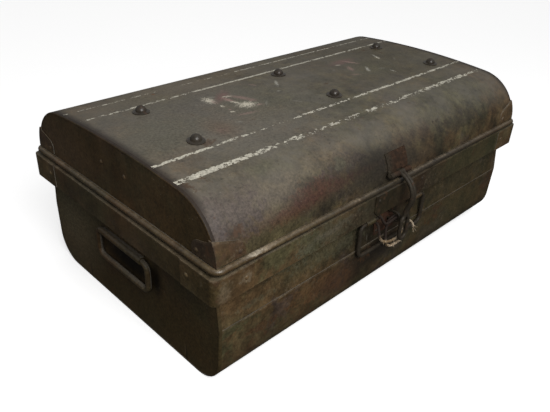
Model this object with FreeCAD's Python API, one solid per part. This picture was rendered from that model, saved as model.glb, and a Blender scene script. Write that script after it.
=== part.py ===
import FreeCAD, Part
import math
import os

# Old sheet-steel travelling trunk with a rolled lid, a long hasp, three bail handles and a tied twine.
# Millimetres, +X along the length, front at -Y, +Z up, origin under the middle of the flat bottom.

# Sheet, fits and cuts
sheet = 1.2
plate = 1.6
running_fit = 0.06
side_gap = 0.5
overrun = 30.0

# Whole trunk: the lid's length and depth, the chest up to the collar's top, the lid above its bead
lid_length = 752.0
lid_depth = 450.0
chest_height = 203.0
lid_rise = 90.0

# Chest: a bent tray below, front and back panels lapped behind it, flat ends with a folded edge
lid_overhang = 7.2
lid_lap = 11.0
belly = 7.0
seam_share = 0.5222
lap = 12.0
tray_draft = 1.6
bottom_radius = 48.0
rim_rise = 18.0
edge_width = 5.0
edge_depth = 2.6
edge_round = 1.6
end_recess = 0.6

# Collar round the rim, with a wrapped cap on each corner
collar_height = 39.0
collar_reach = 17.5
collar_corner = 8.0
cap_leg = 66.0
cap_rivet_leg_share = 0.80
cap_rivet_share = 0.56

# Lid: crowned top with round shoulders, flat ends, a rolled bead on the lower edge
crown_share = 3.778
shoulder_share = 0.889
bead_radius = 5.0
bead_reach = 3.0
bead_gap = 2.0
bead_corner = 10.0

# Wrapped plates on the lid's lower corners
corner_leg = 47.0
corner_gap = 1.0
corner_rise_share = 0.378
corner_lobe_leg_share = 0.74
corner_lobe_share = 0.70
corner_waist_leg_share = 0.925
corner_waist_share = 0.56
corner_rivet_leg_share = 0.80
corner_rivet_share = 0.235

# Studs on the lid's top and their inside washers
stud_length_share = 0.3896
stud_depth_share = 0.2978
stud_shift_share = 0.016
stud_flange_radius = 13.4
stud_flange_height = 2.6
stud_dome_share = 0.65
stud_dome_height = 8.4
stud_shank_radius = 3.0
stud_tail = 1.8
washer_rim = 7.0
washer_gap = 0.1

# Rivet heads
rivet_radius = 3.6
rivet_height = 1.8
lid_end_rivet_depth_share = 0.131
lid_end_rivet_share = 0.548
clip_rivet_radius = 2.6
clip_rivet_height = 1.3

# Hinges on the back
hinge_length_share = 0.585
hinge_width = 60.0
hinge_tongue_share = 0.4
hinge_pin_radius = 2.0
hinge_wall = 1.6
hinge_drop = 3.0
hinge_gap = 0.6
hinge_step = 3.0
chest_leaf_share = 0.82
lid_leaf_share = 0.38
lid_leaf_rivet_share = 0.53
hinge_rivet_share = 0.7

# Hasp hinge plate on the lid's front
hasp_x = -6.0
hasp_plate_left = 28.5
hasp_plate_right = 23.0
hasp_plate_share = 0.362
hasp_axis_gap = 5.04
hasp_pin_radius = 2.4
hasp_wall = 2.1
hasp_rivet_share = 0.722
hasp_rivet_inset = 8.0
pin_tail = 7.0
pin_tail_bend = 4.0

# Hasp arm: one rod bent double, bowed over the collar, with a long eye
hasp_rod = 3.2
hasp_rod_gap = 0.2
hasp_bow_reach = 33.5
hasp_bow_share = 0.667
hasp_eye_reach = 26.0
hasp_eye_gap = 7.0
hasp_spread = 12.0
hasp_eye_half = 9.5
hasp_eye_length = 45.5

# Lock plate on the collar, staple plate and staple on the front panel
lock_width = 136.0
lock_share = 0.95
lock_chamfer = 9.0
lock_rivet_inset = 10.0
staple_share = 0.638
staple_plate_left = 36.0
staple_plate_right = 16.0
staple_plate_share = 0.69
staple_plate_drop_share = 0.12
staple_wire = 2.3
staple_half = 7.5
staple_reach = 25.0
staple_rivet_inset = 6.5

# Bail on each end, one closed ring held by a rolled clip
end_bail_rod = 4.5
end_bail_half = 67.0
end_bail_share = 0.7988
end_bail_drop = 48.0
end_bail_bend = 12.0
end_clip_gap = 1.0
end_clip_flange_share = 0.4
clip_rivet_shares = (-0.8, 0, 0.8)

# Bail on the front, a rod with turned-in ends held by two clips
front_bail_rod = 3.5
front_bail_half = 87.0
front_bail_share = 0.7931
front_bail_drop = 57.0
front_bail_bend = 11.0
front_bail_inner_end = 43.0
front_bail_standoff = 9.4
front_bail_lean = 1.0
front_clip_inner = 54.0
front_clip_length = 21.0
front_clip_flange_share = 0.83
front_clip_rivet_share = 0.42

# Twine tied between the front bail's left end and the staple.
# The runs are places along it, measured from the middle of the staple's bend.
twine_radius = 2.2
twine_gap = 0.7
twine_wrap_start = 2.6
twine_wrap_pitch = 1.35
twine_short_run = [
    (37.0, -8.5, -37.8),
    (34.0, -8.0, -28.8),
    (27.0, -6.0, -17.8),
    (16.0, -3.1, -6.3),
    (8.0, -2.1, -2.2),
    (-10.0, -1.7, -1.2),
    (-22.0, -2.0, -4.0),
    (-32.5, -1.5, -1.3),
]
twine_long_run = [
    (-47.0, -7.0, -7.8),
    (-45.0, -10.5, -19.3),
    (-33.0, -11.5, -28.0),
    (-17.0, -11.5, -31.8),
    (-2.0, -11.1, -31.4),
    (10.0, -9.5, -26.3),
    (15.0, -3.5, -18.8),
    (14.0, 3.3, -8.3),
    (7.0, 3.9, -2.8),
    (-10.0, 3.9, -2.0),
    (-20.0, 2.0, -9.8),
    (-25.0, -1.5, -20.8),
    (-26.0, -4.5, -31.3),
    (-19.0, -6.5, -37.3),
    (-6.0, -7.5, -38.8),
    (6.0, -8.0, -36.8),
]
arc_share = 0.45

# Places worked out from the sizes above
lid_end = lid_length / 2
lid_half = lid_depth / 2
lid_sheet_end = lid_end - edge_width
body_end = lid_end - lid_overhang
end_wall = body_end - end_recess
sheet_end = body_end - edge_width
rim_half = lid_half - lid_lap
belly_half = rim_half + belly
panel_belly = belly_half - sheet
collar_top = chest_height
collar_bottom = collar_top - collar_height
collar_end = body_end + collar_reach
collar_half = rim_half + collar_reach
seam_height = seam_share * chest_height
panel_height = collar_bottom - seam_height
panel_lean = math.atan2(panel_belly - rim_half, panel_height)
rim_top = collar_top + rim_rise

bead_height = collar_top + bead_gap + bead_radius
bead_top = bead_height + bead_radius
bead_end = lid_end + bead_reach
bead_half = lid_half + bead_reach
lid_top = bead_height + lid_rise
crown_radius = crown_share * lid_depth
crown_centre = lid_top - crown_radius
shoulder_radius = shoulder_share * lid_rise
shoulder_y = lid_half - shoulder_radius
shoulder_z = crown_centre + math.sqrt((crown_radius - shoulder_radius) ** 2 - shoulder_y ** 2)
shoulder_lean = math.atan2(shoulder_y, shoulder_z - crown_centre)
corner_base = bead_top + corner_gap
corner_rise = corner_rise_share * lid_rise
corner_rivet_height = corner_base + corner_rivet_share * corner_rise
stud_dome_radius = stud_dome_share * stud_flange_radius

hinge_knuckle = hinge_pin_radius + running_fit + hinge_wall
hinge_axis_y = bead_half + bead_radius + hinge_gap + hinge_knuckle
hinge_axis_height = bead_height - hinge_drop
chest_leaf_height = chest_leaf_share * collar_height
lid_leaf_step = bead_top + hinge_step
lid_leaf_rise = lid_leaf_share * lid_rise
lid_leaf_rivet = lid_leaf_step + lid_leaf_rivet_share * lid_leaf_rise

hasp_knuckle = hasp_pin_radius + running_fit + hasp_wall
hasp_axis_height = bead_top + hasp_axis_gap + hasp_knuckle
hasp_plate_rise = hasp_plate_share * lid_rise
hasp_rod_x = hasp_rod + hasp_rod_gap / 2
hasp_barrel = 2 * hasp_rod_x
hasp_left = hasp_x - hasp_plate_left
hasp_right = hasp_x + hasp_plate_right
hasp_bow_height = collar_bottom + hasp_bow_share * collar_height
hasp_eye_shoulder = collar_bottom - hasp_eye_gap
hasp_eye_bottom = hasp_eye_shoulder - hasp_eye_length
staple_height = seam_height + staple_share * panel_height
staple_plate_height = staple_plate_share * panel_height
staple_plate_drop = staple_plate_drop_share * panel_height

end_bail_standoff = end_bail_rod + running_fit + sheet
end_bail_height = end_bail_share * collar_bottom
end_clip_half = end_bail_half - end_bail_bend - end_clip_gap
end_clip_flange = end_clip_flange_share * (collar_bottom - end_bail_height - end_bail_standoff)
front_bail_height = seam_height + front_bail_share * panel_height
front_clip_tube = front_bail_rod + running_fit + sheet
front_clip_flange = front_clip_flange_share * (collar_bottom - front_bail_height - front_clip_tube)

AXIS_X = FreeCAD.Vector(1, 0, 0)
AXIS_Y = FreeCAD.Vector(0, 1, 0)
AXIS_Z = FreeCAD.Vector(0, 0, 1)
ORIGIN = FreeCAD.Vector(0, 0, 0)


def vec(x, y, z):
    return FreeCAD.Vector(x, y, z)


def box(low, high):
    size = vec(*high) - vec(*low)
    return Part.makeBox(size.x, size.y, size.z, vec(*low))


def bar_x(radius, x_low, x_high, y, z):
    return Part.makeCylinder(radius, x_high - x_low, vec(x_low, y, z), AXIS_X)


def prism_x(points, x_low, x_high):
    """Extrude a (y, z) polygon along X."""
    corners = [vec(x_low, y, z) for y, z in points]
    outline = Part.makePolygon(corners + corners[:1])
    return Part.Face(outline).extrude(vec(x_high - x_low, 0, 0))


def mirror_x(shape):
    return shape.mirror(ORIGIN, AXIS_X)


def mirror_y(shape):
    return shape.mirror(ORIGIN, AXIS_Y)


def arc(start, middle, end):
    return Part.Arc(start, middle, end).toShape()


def line(start, end):
    return Part.LineSegment(start, end).toShape()


def rod_along(edges, radius):
    """Round rod along a smooth run of lines and arcs."""
    path = Part.Wire(edges)
    first = edges[0]
    start = first.valueAt(first.FirstParameter)
    along = first.tangentAt(first.FirstParameter)
    section = Part.Wire([Part.makeCircle(radius, start, along)])
    return path.makePipeShell([section], True, False)


def round_rectangle(half_x, half_y, radius, low, high):
    """Upright block with round vertical corners."""
    block = box((-half_x, -half_y, low), (half_x, half_y, high))
    corners = [edge for edge in block.Edges if abs(edge.tangentAt(edge.FirstParameter).z) == 1]
    return block.makeFillet(radius, corners)


def ring_tube(half_u, half_v, bend, radius):
    """Closed tube round a rectangle with round corners, in the XY plane."""
    tube = None
    for side in (1, -1):
        run_x = Part.makeCylinder(radius, 2 * (half_u - bend), vec(bend - half_u, side * half_v, 0), AXIS_X)
        run_y = Part.makeCylinder(radius, 2 * (half_v - bend), vec(side * half_u, bend - half_v, 0), AXIS_Y)
        tube = run_x.fuse(run_y) if tube is None else tube.fuse([run_x, run_y])
    for turn, (side_u, side_v) in enumerate(((1, 1), (-1, 1), (-1, -1), (1, -1))):
        centre = vec(side_u * (half_u - bend), side_v * (half_v - bend), 0)
        elbow = Part.makeTorus(bend, radius, ORIGIN, AXIS_Z, -180, 180, 90)
        elbow.rotate(ORIGIN, AXIS_Z, 90 * turn)
        elbow.translate(centre)
        tube = tube.fuse(elbow)
    return tube.removeSplitter()


def dome_head(radius, height, place, outward):
    """Rivet head: a cap of a sphere sitting flat on a surface."""
    ball = (radius ** 2 + height ** 2) / (2 * height)
    centre = vec(0, 0, height - ball)
    cap = Part.makeSphere(ball, centre)
    head = cap.common(box((-ball, -ball, 0), (ball, ball, height + ball)))
    head.rotate(ORIGIN, *turn_to(outward))
    head.translate(place)
    return head


def turn_to(outward):
    """Axis and angle that turn +Z to a direction."""
    turn = FreeCAD.Rotation(AXIS_Z, outward)
    return turn.Axis, math.degrees(turn.Angle)


def tray_half(z):
    """Half depth of the tray's outer wall at a height."""
    return belly_half - tray_draft * (seam_height - z) / (seam_height - bottom_radius)


def panel_half(z):
    """Half depth of the front and back panels' outer face between the tray and the collar."""
    return rim_half + (collar_bottom - z) * math.tan(panel_lean)


def tray_outline(inset, top):
    """Closed section of the tray in the YZ plane, open edge at the top."""
    radius = bottom_radius - inset
    foot = tray_half(bottom_radius) - inset
    flat = foot - radius
    diagonal = radius * math.sqrt(0.5)
    points = {}
    for side in (-1, 1):
        points[side] = [
            vec(0, side * (tray_half(top) - inset), top),
            vec(0, side * foot, bottom_radius),
            vec(0, side * (flat + diagonal), bottom_radius - diagonal),
            vec(0, side * flat, inset),
        ]
    front, back = points[-1], points[1]
    edges = [line(front[0], front[1]), arc(*front[1:]), line(front[3], back[3])]
    edges += [arc(*reversed(back[1:])), line(back[1], back[0])]
    return edges


def chest_outline(inset):
    """Whole section of the chest, from the flat bottom up to the rim."""
    edges = tray_outline(inset, seam_height)
    low = tray_half(seam_height) - inset
    high = rim_half - inset
    edges.append(line(vec(0, low, seam_height), vec(0, high, collar_bottom)))
    edges.append(line(vec(0, high, collar_bottom), vec(0, high, rim_top)))
    edges.append(line(vec(0, high, rim_top), vec(0, -high, rim_top)))
    edges.append(line(vec(0, -high, rim_top), vec(0, -high, collar_bottom)))
    edges.append(line(vec(0, -high, collar_bottom), vec(0, -low, seam_height)))
    return Part.Wire(edges)


def lid_outline(offset, low):
    """Closed section of the lid, its lower edge straight at a height."""
    half = lid_half + offset
    crown = crown_radius + offset
    shoulder = shoulder_radius + offset
    middle = (math.pi / 2 + shoulder_lean) / 2
    bulge_y = shoulder * math.sin(middle)
    bulge_z = shoulder * math.cos(middle)
    sides = {}
    for side in (-1, 1):
        sides[side] = [
            vec(0, side * half, low),
            vec(0, side * half, shoulder_z),
            vec(0, side * (shoulder_y + bulge_y), shoulder_z + bulge_z),
            vec(0, side * crown * math.sin(shoulder_lean), crown_centre + crown * math.cos(shoulder_lean)),
        ]
    front, back = sides[-1], sides[1]
    edges = [line(front[0], front[1]), arc(*front[1:])]
    edges += [arc(front[3], vec(0, 0, crown_centre + crown), back[3])]
    edges += [arc(*reversed(back[1:])), line(back[1], back[0]), line(back[0], front[0])]
    return Part.Wire(edges)


def extrude_outline(wire, x_low, x_high):
    face = Part.Face(wire)
    face.translate(vec(x_low, 0, 0))
    return face.extrude(vec(x_high - x_low, 0, 0))


def lid_block(offset, end, low):
    return extrude_outline(lid_outline(offset, low), -end, end)


def lid_skin(thick, low):
    """Layer lying on the lid's outside, down to a height."""
    layer = lid_block(thick, lid_end + thick, low - overrun).cut(lid_block(0, lid_end, low - 2 * overrun))
    return layer.common(box((-lid_length, -lid_depth, low), (lid_length, lid_depth, lid_top + overrun)))


def shoulder_head(x, side, z, thick, radius, height):
    """Rivet head square to a plate on the lid's front (-1) or back (1) shoulder, at a height."""
    rise = math.asin((z - shoulder_z) / shoulder_radius)
    outward = vec(0, side * math.cos(rise), math.sin(rise))
    place = vec(x, side * shoulder_y, shoulder_z) + outward * (shoulder_radius + thick)
    return dome_head(radius, height, place, outward)


def lid_skin_y(z, offset):
    """Half depth of the lid's outer face at a height, with an offset outwards."""
    rise = max(0, z - shoulder_z)
    return shoulder_y + math.sqrt((shoulder_radius + offset) ** 2 - rise ** 2)


def folded_end(outer, inner, whole, end):
    """Flat end panel with a deep folded edge, rounded outside. The recessed wall stands inside the edge."""
    ring = extrude_outline(outer, end - edge_width, end)
    ring = ring.cut(extrude_outline(inner, end - edge_width - overrun, end + overrun))
    rims = []
    for edge in ring.Edges:
        middle = edge.valueAt((edge.FirstParameter + edge.LastParameter) / 2)
        if abs(middle.x - end) < edge_round and not inner_edge(edge, inner):
            if abs(edge.BoundBox.XLength) < edge_round:
                rims.append(edge)
    ring = ring.makeFillet(edge_round, rims)
    wall = extrude_outline(whole, end - end_recess - sheet, end - end_recess)
    return ring.fuse(wall).removeSplitter()


def inner_edge(edge, inner):
    """True where an edge lies on the inner outline, whatever its place along X."""
    middle = edge.valueAt((edge.FirstParameter + edge.LastParameter) / 2)
    flat = Part.Vertex(vec(0, middle.y, middle.z))
    return inner.distToShape(flat)[0] < edge_depth / 2


def tray_section(inset, top):
    """Tray outline closed across its mouth."""
    mouth = tray_half(top) - inset
    return Part.Wire(tray_outline(inset, top) + [line(vec(0, mouth, top), vec(0, -mouth, top))])


def make_tray():
    """Bottom and lower walls, one bent sheet."""
    outside = extrude_outline(tray_section(0, seam_height), -sheet_end, sheet_end)
    inside = extrude_outline(tray_section(sheet, seam_height + overrun), -body_end, body_end)
    return outside.cut(inside)


def make_front_panel():
    tuck = seam_height - lap
    outer = [(rim_half, rim_top), (rim_half, collar_bottom), (panel_belly, seam_height)]
    outer.append((tray_half(tuck) - sheet, tuck))
    inner = [(y - sheet, z) for y, z in reversed(outer)]
    return prism_x([(-y, z) for y, z in outer + inner], -sheet_end, sheet_end)


def make_chest_end():
    """Right end of the chest."""
    return folded_end(chest_outline(0), chest_outline(edge_depth), chest_outline(edge_depth / 2), body_end)


def make_lid_end():
    """Right end of the lid, before the bead is cut out of it."""
    inner = lid_outline(-edge_depth, bead_height - overrun)
    whole = lid_outline(-edge_depth / 2, bead_height)
    return folded_end(lid_outline(0, bead_height), inner, whole, lid_end)


def make_collar():
    """Channel round the rim, cut on the diagonals into four bands."""
    outside = round_rectangle(collar_end, collar_half, collar_corner, collar_bottom, collar_top)
    inner_end = collar_end - sheet
    inner_half = collar_half - sheet
    low = collar_bottom + sheet
    inside = round_rectangle(inner_end, inner_half, collar_corner - sheet, low, collar_top - sheet)
    chest = box((-body_end, -rim_half, collar_bottom - overrun), (body_end, rim_half, collar_top + overrun))
    ring = outside.cut(inside).cut(chest)
    deep = collar_reach + overrun
    diagonal = [(-collar_end, -collar_half), (collar_end, -collar_half)]
    diagonal += [(collar_end - deep, deep - collar_half), (deep - collar_end, deep - collar_half)]
    corners = [vec(x, y, collar_bottom) for x, y in diagonal]
    wedge = Part.Face(Part.makePolygon(corners + corners[:1])).extrude(vec(0, 0, collar_height))
    front = ring.common(wedge)
    sides = ring.cut(wedge).cut(mirror_y(wedge))
    left = sides.common(box((-collar_end, -collar_half, collar_bottom), (0, collar_half, collar_top)))
    return front, left


def make_collar_cap():
    """Cap on the front left corner."""
    outside = round_rectangle(
        collar_end + sheet, collar_half + sheet, collar_corner + sheet, collar_bottom, collar_top)
    inside = round_rectangle(
        collar_end, collar_half, collar_corner, collar_bottom - overrun, collar_top + overrun)
    low = (-collar_end - overrun, -collar_half - overrun, collar_bottom)
    corner = box(low, (cap_leg - collar_end, cap_leg - collar_half, collar_top))
    return outside.cut(inside).common(corner)


def make_cap_rivets():
    """One rivet on each leg of the front left cap."""
    leg = cap_rivet_leg_share * cap_leg
    z = collar_bottom + cap_rivet_share * collar_height
    front = vec(leg - collar_end, -collar_half - sheet, z)
    side = vec(-collar_end - sheet, leg - collar_half, z)
    return [
        dome_head(rivet_radius, rivet_height, front, -AXIS_Y),
        dome_head(rivet_radius, rivet_height, side, -AXIS_X),
    ]


def on_all_corners(shapes):
    """The front left shapes and their mirror images on the other three corners."""
    right = [mirror_x(shape) for shape in shapes]
    back = [mirror_y(shape) for shape in shapes + right]
    return shapes + right + back


def corner_outline(reach):
    """Outline of a lid corner plate's leg, sloping down to a round end: distance from the corner, height."""
    return [
        (-reach, corner_base),
        (corner_leg, corner_base),
        (corner_leg, corner_rivet_height),
        (corner_waist_leg_share * corner_leg, corner_base + corner_waist_share * corner_rise),
        (corner_lobe_leg_share * corner_leg, corner_base + corner_lobe_share * corner_rise),
        (0, corner_base + corner_rise),
        (-reach, corner_base + corner_rise),
    ]


def make_corner_plate():
    """Plate wrapped round the lid's front left lower corner."""
    skin = lid_skin(sheet, corner_base)
    outline = corner_outline(overrun)
    front = leg_prism([(s - lid_end, z) for s, z in outline], AXIS_Y)
    side = leg_prism([(s - lid_half, z) for s, z in outline], AXIS_X)
    deep = lid_half - lid_skin_y(corner_base + corner_rise, 0) + edge_width
    front = front.common(box((-lid_length, -lid_depth, 0), (0, deep - lid_half, lid_top)))
    side = side.common(box((-lid_length, -lid_depth, 0), (-lid_end, 0, lid_top)))
    return skin.common(front).fuse(skin.common(side)).removeSplitter()


def leg_prism(points, across):
    """Prism of a corner leg's outline, through the lid's whole length or depth."""
    if across == AXIS_Y:
        corners = [vec(s, -lid_depth, z) for s, z in points]
        sweep = vec(0, 2 * lid_depth, 0)
    else:
        corners = [vec(-lid_length, s, z) for s, z in points]
        sweep = vec(2 * lid_length, 0, 0)
    first, second, knee, waist, lobe, top, last = corners
    edges = [line(first, second), line(second, knee), arc(knee, waist, lobe)]
    edges += [line(lobe, top), line(top, last), line(last, first)]
    return Part.Face(Part.Wire(edges)).extrude(sweep)


def make_corner_rivets():
    """One rivet on each leg of the front left corner plate."""
    z = corner_rivet_height
    leg = corner_rivet_leg_share * corner_leg
    front = shoulder_head(leg - lid_end, -1, z, sheet, rivet_radius, rivet_height)
    side = vec(-lid_end - sheet, leg - lid_half, z)
    return [front, dome_head(rivet_radius, rivet_height, side, -AXIS_X)]


def stud_places():
    """Foot and outward direction of each stud on the crowned top."""
    places = []
    for row in (-1, 1):
        for column in (-1, 0, 1):
            y = row * stud_depth_share * lid_depth / 2
            lean = math.asin(y / crown_radius)
            outward = vec(0, math.sin(lean), math.cos(lean))
            x = (stud_shift_share + column * stud_length_share) * lid_length
            foot = vec(x, 0, crown_centre) + outward * crown_radius
            places.append((foot, outward))
    return places


def turned_profile(points):
    """Revolve a (radius, height) half section about Z."""
    corners = [vec(r, 0, z) for r, z in points]
    face = Part.Face(Part.makePolygon(corners + corners[:1]))
    return face.revolve(ORIGIN, AXIS_Z, 360)


def make_stud(foot, outward):
    flange = turned_profile([
        (0, 0),
        (stud_flange_radius, 0),
        (stud_flange_radius, stud_flange_height / 2),
        (stud_dome_radius, stud_flange_height),
        (0, stud_flange_height),
    ])
    ball = (stud_dome_radius ** 2 + stud_dome_height ** 2) / (2 * stud_dome_height)
    top = stud_flange_height + stud_dome_height
    dome = Part.makeSphere(ball, vec(0, 0, top - ball))
    dome = dome.common(box((-ball, -ball, stud_flange_height / 2), (ball, ball, top + ball)))
    tail = 2 * sheet + stud_tail
    shank = Part.makeCylinder(stud_shank_radius, tail + stud_flange_height, vec(0, 0, -tail))
    stud = flange.fuse([dome, shank]).removeSplitter()
    stud.rotate(ORIGIN, *turn_to(outward))
    stud.translate(foot)
    return stud


def make_washer(foot, outward):
    under = foot - outward * (sheet + washer_gap)
    disc = Part.makeCylinder(stud_shank_radius + washer_rim, sheet, under, -outward)
    return disc.cut(stud_hole(foot, outward))


def stud_hole(foot, outward):
    return Part.makeCylinder(stud_shank_radius + running_fit, 2 * overrun, foot - outward * overrun, outward)


def hinge_bore(length):
    return bar_x(hinge_pin_radius + running_fit, -length, length, hinge_axis_y, hinge_axis_height)


def make_chest_leaf():
    """Chest half of a hinge, centred on x = 0: a plate on the collar and two outer knuckles."""
    half = hinge_width / 2
    tongue = hinge_tongue_share * half
    low = collar_top - chest_leaf_height
    face = collar_half
    leaf = box((-half, face, low), (half, face + plate, collar_top - plate))
    arm_top = hinge_axis_height - hinge_pin_radius
    arm = prism_x([
        (face, collar_top - 2 * plate),
        (face + plate, collar_top - 2 * plate),
        (hinge_axis_y + plate / 2, arm_top - plate),
        (hinge_axis_y + plate / 2, arm_top),
        (hinge_axis_y - plate / 2, arm_top),
    ], -half, half)
    knuckle = bar_x(hinge_knuckle, -half, half, hinge_axis_y, hinge_axis_height)
    room = tongue + side_gap
    gap = box((-room, face + plate, low), (room, face + overrun, lid_top))
    slot = box((-room, face, collar_top - plate), (room, face + overrun, lid_top))
    solid = leaf.fuse([arm, knuckle]).cut([gap, slot])
    return solid.cut(hinge_bore(hinge_width)).removeSplitter()


def make_lid_leaf():
    """Lid half of a hinge, centred on x = 0: a plate on the lid's back and a tongue over the bead."""
    half = hinge_width / 2
    tongue = hinge_tongue_share * half
    low = lid_leaf_step
    leaf = lid_skin(plate, low).common(box((-half, 0, low), (half, lid_depth, low + lid_leaf_rise)))
    strip = hinge_axis_y - hinge_knuckle
    shelf = box((-tongue, lid_half, low), (tongue, strip + plate, low + plate))
    drop = box((-tongue, strip, hinge_axis_height), (tongue, strip + plate, low + plate))
    knuckle = bar_x(hinge_knuckle, -tongue, tongue, hinge_axis_y, hinge_axis_height)
    return leaf.fuse([shelf, drop, knuckle]).cut(hinge_bore(hinge_width)).removeSplitter()


def hinge_rivets():
    """Two heads on a hinge's chest leaf and two on its lid leaf, centred on x = 0."""
    chest = []
    lid = []
    z = collar_top - chest_leaf_height / 2
    for side in (-1, 1):
        x = side * hinge_rivet_share * hinge_width / 2
        place = vec(x, collar_half + plate, z)
        chest.append(dome_head(clip_rivet_radius, clip_rivet_height, place, AXIS_Y))
        lid.append(shoulder_head(x, 1, lid_leaf_rivet, plate, clip_rivet_radius, clip_rivet_height))
    return chest, lid


hasp_axis_y = -(lid_skin_y(hasp_axis_height, 0) + side_gap + hasp_knuckle)


def hasp_bore():
    return bar_x(hasp_pin_radius + running_fit, -lid_end, lid_end, hasp_axis_y, hasp_axis_height)


def make_hasp_plate():
    """Plate bent to the lid's front shoulder, with two knuckles on its lower edge."""
    low = hasp_axis_height
    high = low + hasp_plate_rise
    leaf = lid_skin(plate, low).common(box((hasp_left, -lid_depth, low), (hasp_right, 0, high)))
    knuckle = bar_x(hasp_knuckle, hasp_left, hasp_right, hasp_axis_y, low)
    knuckle = knuckle.cut(lid_block(0, lid_end, low - overrun))
    room = hasp_barrel + side_gap
    gap_top = low + hasp_knuckle + side_gap
    gap = box((hasp_x - room, -lid_depth, 0), (hasp_x + room, 0, gap_top))
    return leaf.fuse(knuckle).cut([gap, hasp_bore()]).removeSplitter()


def make_hasp_rivets():
    """Rivet heads of the hasp plate, square to the lid's shoulder."""
    z = hasp_axis_height + hasp_rivet_share * hasp_plate_rise
    places = (hasp_left + hasp_rivet_inset, hasp_right - hasp_rivet_inset)
    return [shoulder_head(x, -1, z, plate, clip_rivet_radius, clip_rivet_height) for x in places]


def make_hasp_pin():
    """Hinge wire of the hasp, its left end bent up."""
    left = hasp_left - side_gap
    right = hasp_right + hasp_pin_radius
    y, z, bend = hasp_axis_y, hasp_axis_height, pin_tail_bend
    diagonal = bend * (1 - math.sqrt(0.5))
    edges = [
        line(vec(right, y, z), vec(left, y, z)),
        arc(vec(left, y, z), vec(left - bend + diagonal, y, z + diagonal), vec(left - bend, y, z + bend)),
        line(vec(left - bend, y, z + bend), vec(left - bend, y, z + bend + pin_tail)),
    ]
    return rod_along(edges, hasp_pin_radius)


def s_bend(start, end, side):
    """Two equal arcs from one upright run down to another, offset along a direction."""
    drop = start.z - end.z
    shift = (end - start).dot(side)
    radius = (drop ** 2 + shift ** 2) / (4 * abs(shift))
    sweep = math.asin(drop / (2 * radius))
    sign = math.copysign(1, shift)
    middle = (start + end) * 0.5
    bulge = radius * (1 - math.cos(sweep / 2))
    fall = radius * math.sin(sweep / 2)
    upper = start + side * (sign * bulge) - AXIS_Z * fall
    lower = end - side * (sign * bulge) + AXIS_Z * fall
    return [arc(start, upper, middle), arc(middle, lower, end)]


def make_hasp_arm():
    """Rod bent double: barrel on the pin, bow over the collar, long eye below."""
    bow_y = hasp_axis_y - (hasp_bow_reach - hasp_knuckle)
    eye_y = hasp_axis_y - (hasp_eye_reach - hasp_knuckle)
    rise = hasp_axis_height - hasp_bow_height
    reach = hasp_axis_y - bow_y
    bow = (reach ** 2 + rise ** 2) / (2 * reach)
    half_turn = math.asin(rise / bow) / 2
    eye_centre = hasp_eye_bottom + hasp_eye_half
    sides = {}
    for side in (-1, 1):
        x = hasp_x + side * hasp_rod_x
        top = vec(x, hasp_axis_y, hasp_axis_height)
        middle = vec(x, bow_y + bow * (1 - math.cos(half_turn)), hasp_bow_height + bow * math.sin(half_turn))
        out = vec(x, bow_y, hasp_bow_height)
        neck = vec(x, eye_y, hasp_eye_shoulder)
        spread = vec(hasp_x + side * hasp_eye_half, eye_y, hasp_eye_shoulder - hasp_spread)
        foot = vec(hasp_x + side * hasp_eye_half, eye_y, eye_centre)
        run = [arc(top, middle, out)] + s_bend(out, neck, AXIS_Y) + s_bend(neck, spread, AXIS_X)
        sides[side] = run + [line(spread, foot)]
    bottom = vec(hasp_x, eye_y, hasp_eye_bottom)
    feet = [sides[side][-1].valueAt(sides[side][-1].LastParameter) for side in (-1, 1)]
    back = [turned_edge(edge) for edge in reversed(sides[1])]
    arm = rod_along(sides[-1] + [arc(feet[0], bottom, feet[1])] + back, hasp_rod)
    barrel = bar_x(hasp_knuckle, hasp_x - hasp_barrel, hasp_x + hasp_barrel, hasp_axis_y, hasp_axis_height)
    return arm.fuse(barrel).cut(hasp_bore()).removeSplitter()


def turned_edge(edge):
    """The same line or arc run the other way."""
    first = edge.valueAt(edge.FirstParameter)
    middle = edge.valueAt((edge.FirstParameter + edge.LastParameter) / 2)
    last = edge.valueAt(edge.LastParameter)
    if edge.Curve.TypeId == "Part::GeomLine":
        return line(last, first)
    return arc(last, middle, first)


def make_lock_plate():
    half = lock_width / 2
    low = collar_top - lock_share * collar_height
    corners = [
        vec(-half, 0, collar_top),
        vec(half, 0, collar_top),
        vec(half, 0, low + lock_chamfer),
        vec(half - lock_chamfer, 0, low),
        vec(lock_chamfer - half, 0, low),
        vec(-half, 0, low + lock_chamfer),
    ]
    face = Part.Face(Part.makePolygon(corners + corners[:1]))
    solid = face.extrude(vec(0, -plate, 0))
    solid.translate(vec(0, -collar_half, 0))
    return solid


def make_lock_rivets():
    heads = []
    for side in (-1, 1):
        x = side * (lock_width / 2 - lock_rivet_inset)
        place = vec(x, -collar_half - plate, collar_top - lock_rivet_inset)
        heads.append(dome_head(clip_rivet_radius, clip_rivet_height, place, -AXIS_Y))
    return heads


def on_front_panel(shape, height):
    """Lay a shape made on the plane y = 0, outwards at -y, on the leaning front panel at a height."""
    shape.rotate(ORIGIN, AXIS_X, -math.degrees(panel_lean))
    shape.translate(vec(0, -panel_half(height), height))
    return shape


def make_staple_plate():
    low = (hasp_x - staple_plate_left, -plate, -staple_plate_height / 2 - staple_plate_drop)
    high = (hasp_x + staple_plate_right, 0, staple_plate_height / 2 - staple_plate_drop)
    return on_front_panel(box(low, high), staple_height)


def make_staple_rivets():
    heads = []
    left = hasp_x - staple_plate_left + staple_rivet_inset
    right = hasp_x + staple_plate_right - staple_rivet_inset
    for x in (left, right):
        for side in (-1, 1):
            up = side * (staple_plate_height / 2 - staple_rivet_inset) - staple_plate_drop
            head = dome_head(clip_rivet_radius, clip_rivet_height, vec(x, -plate, up), -AXIS_Y)
            heads.append(on_front_panel(head, staple_height))
    return heads


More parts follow.
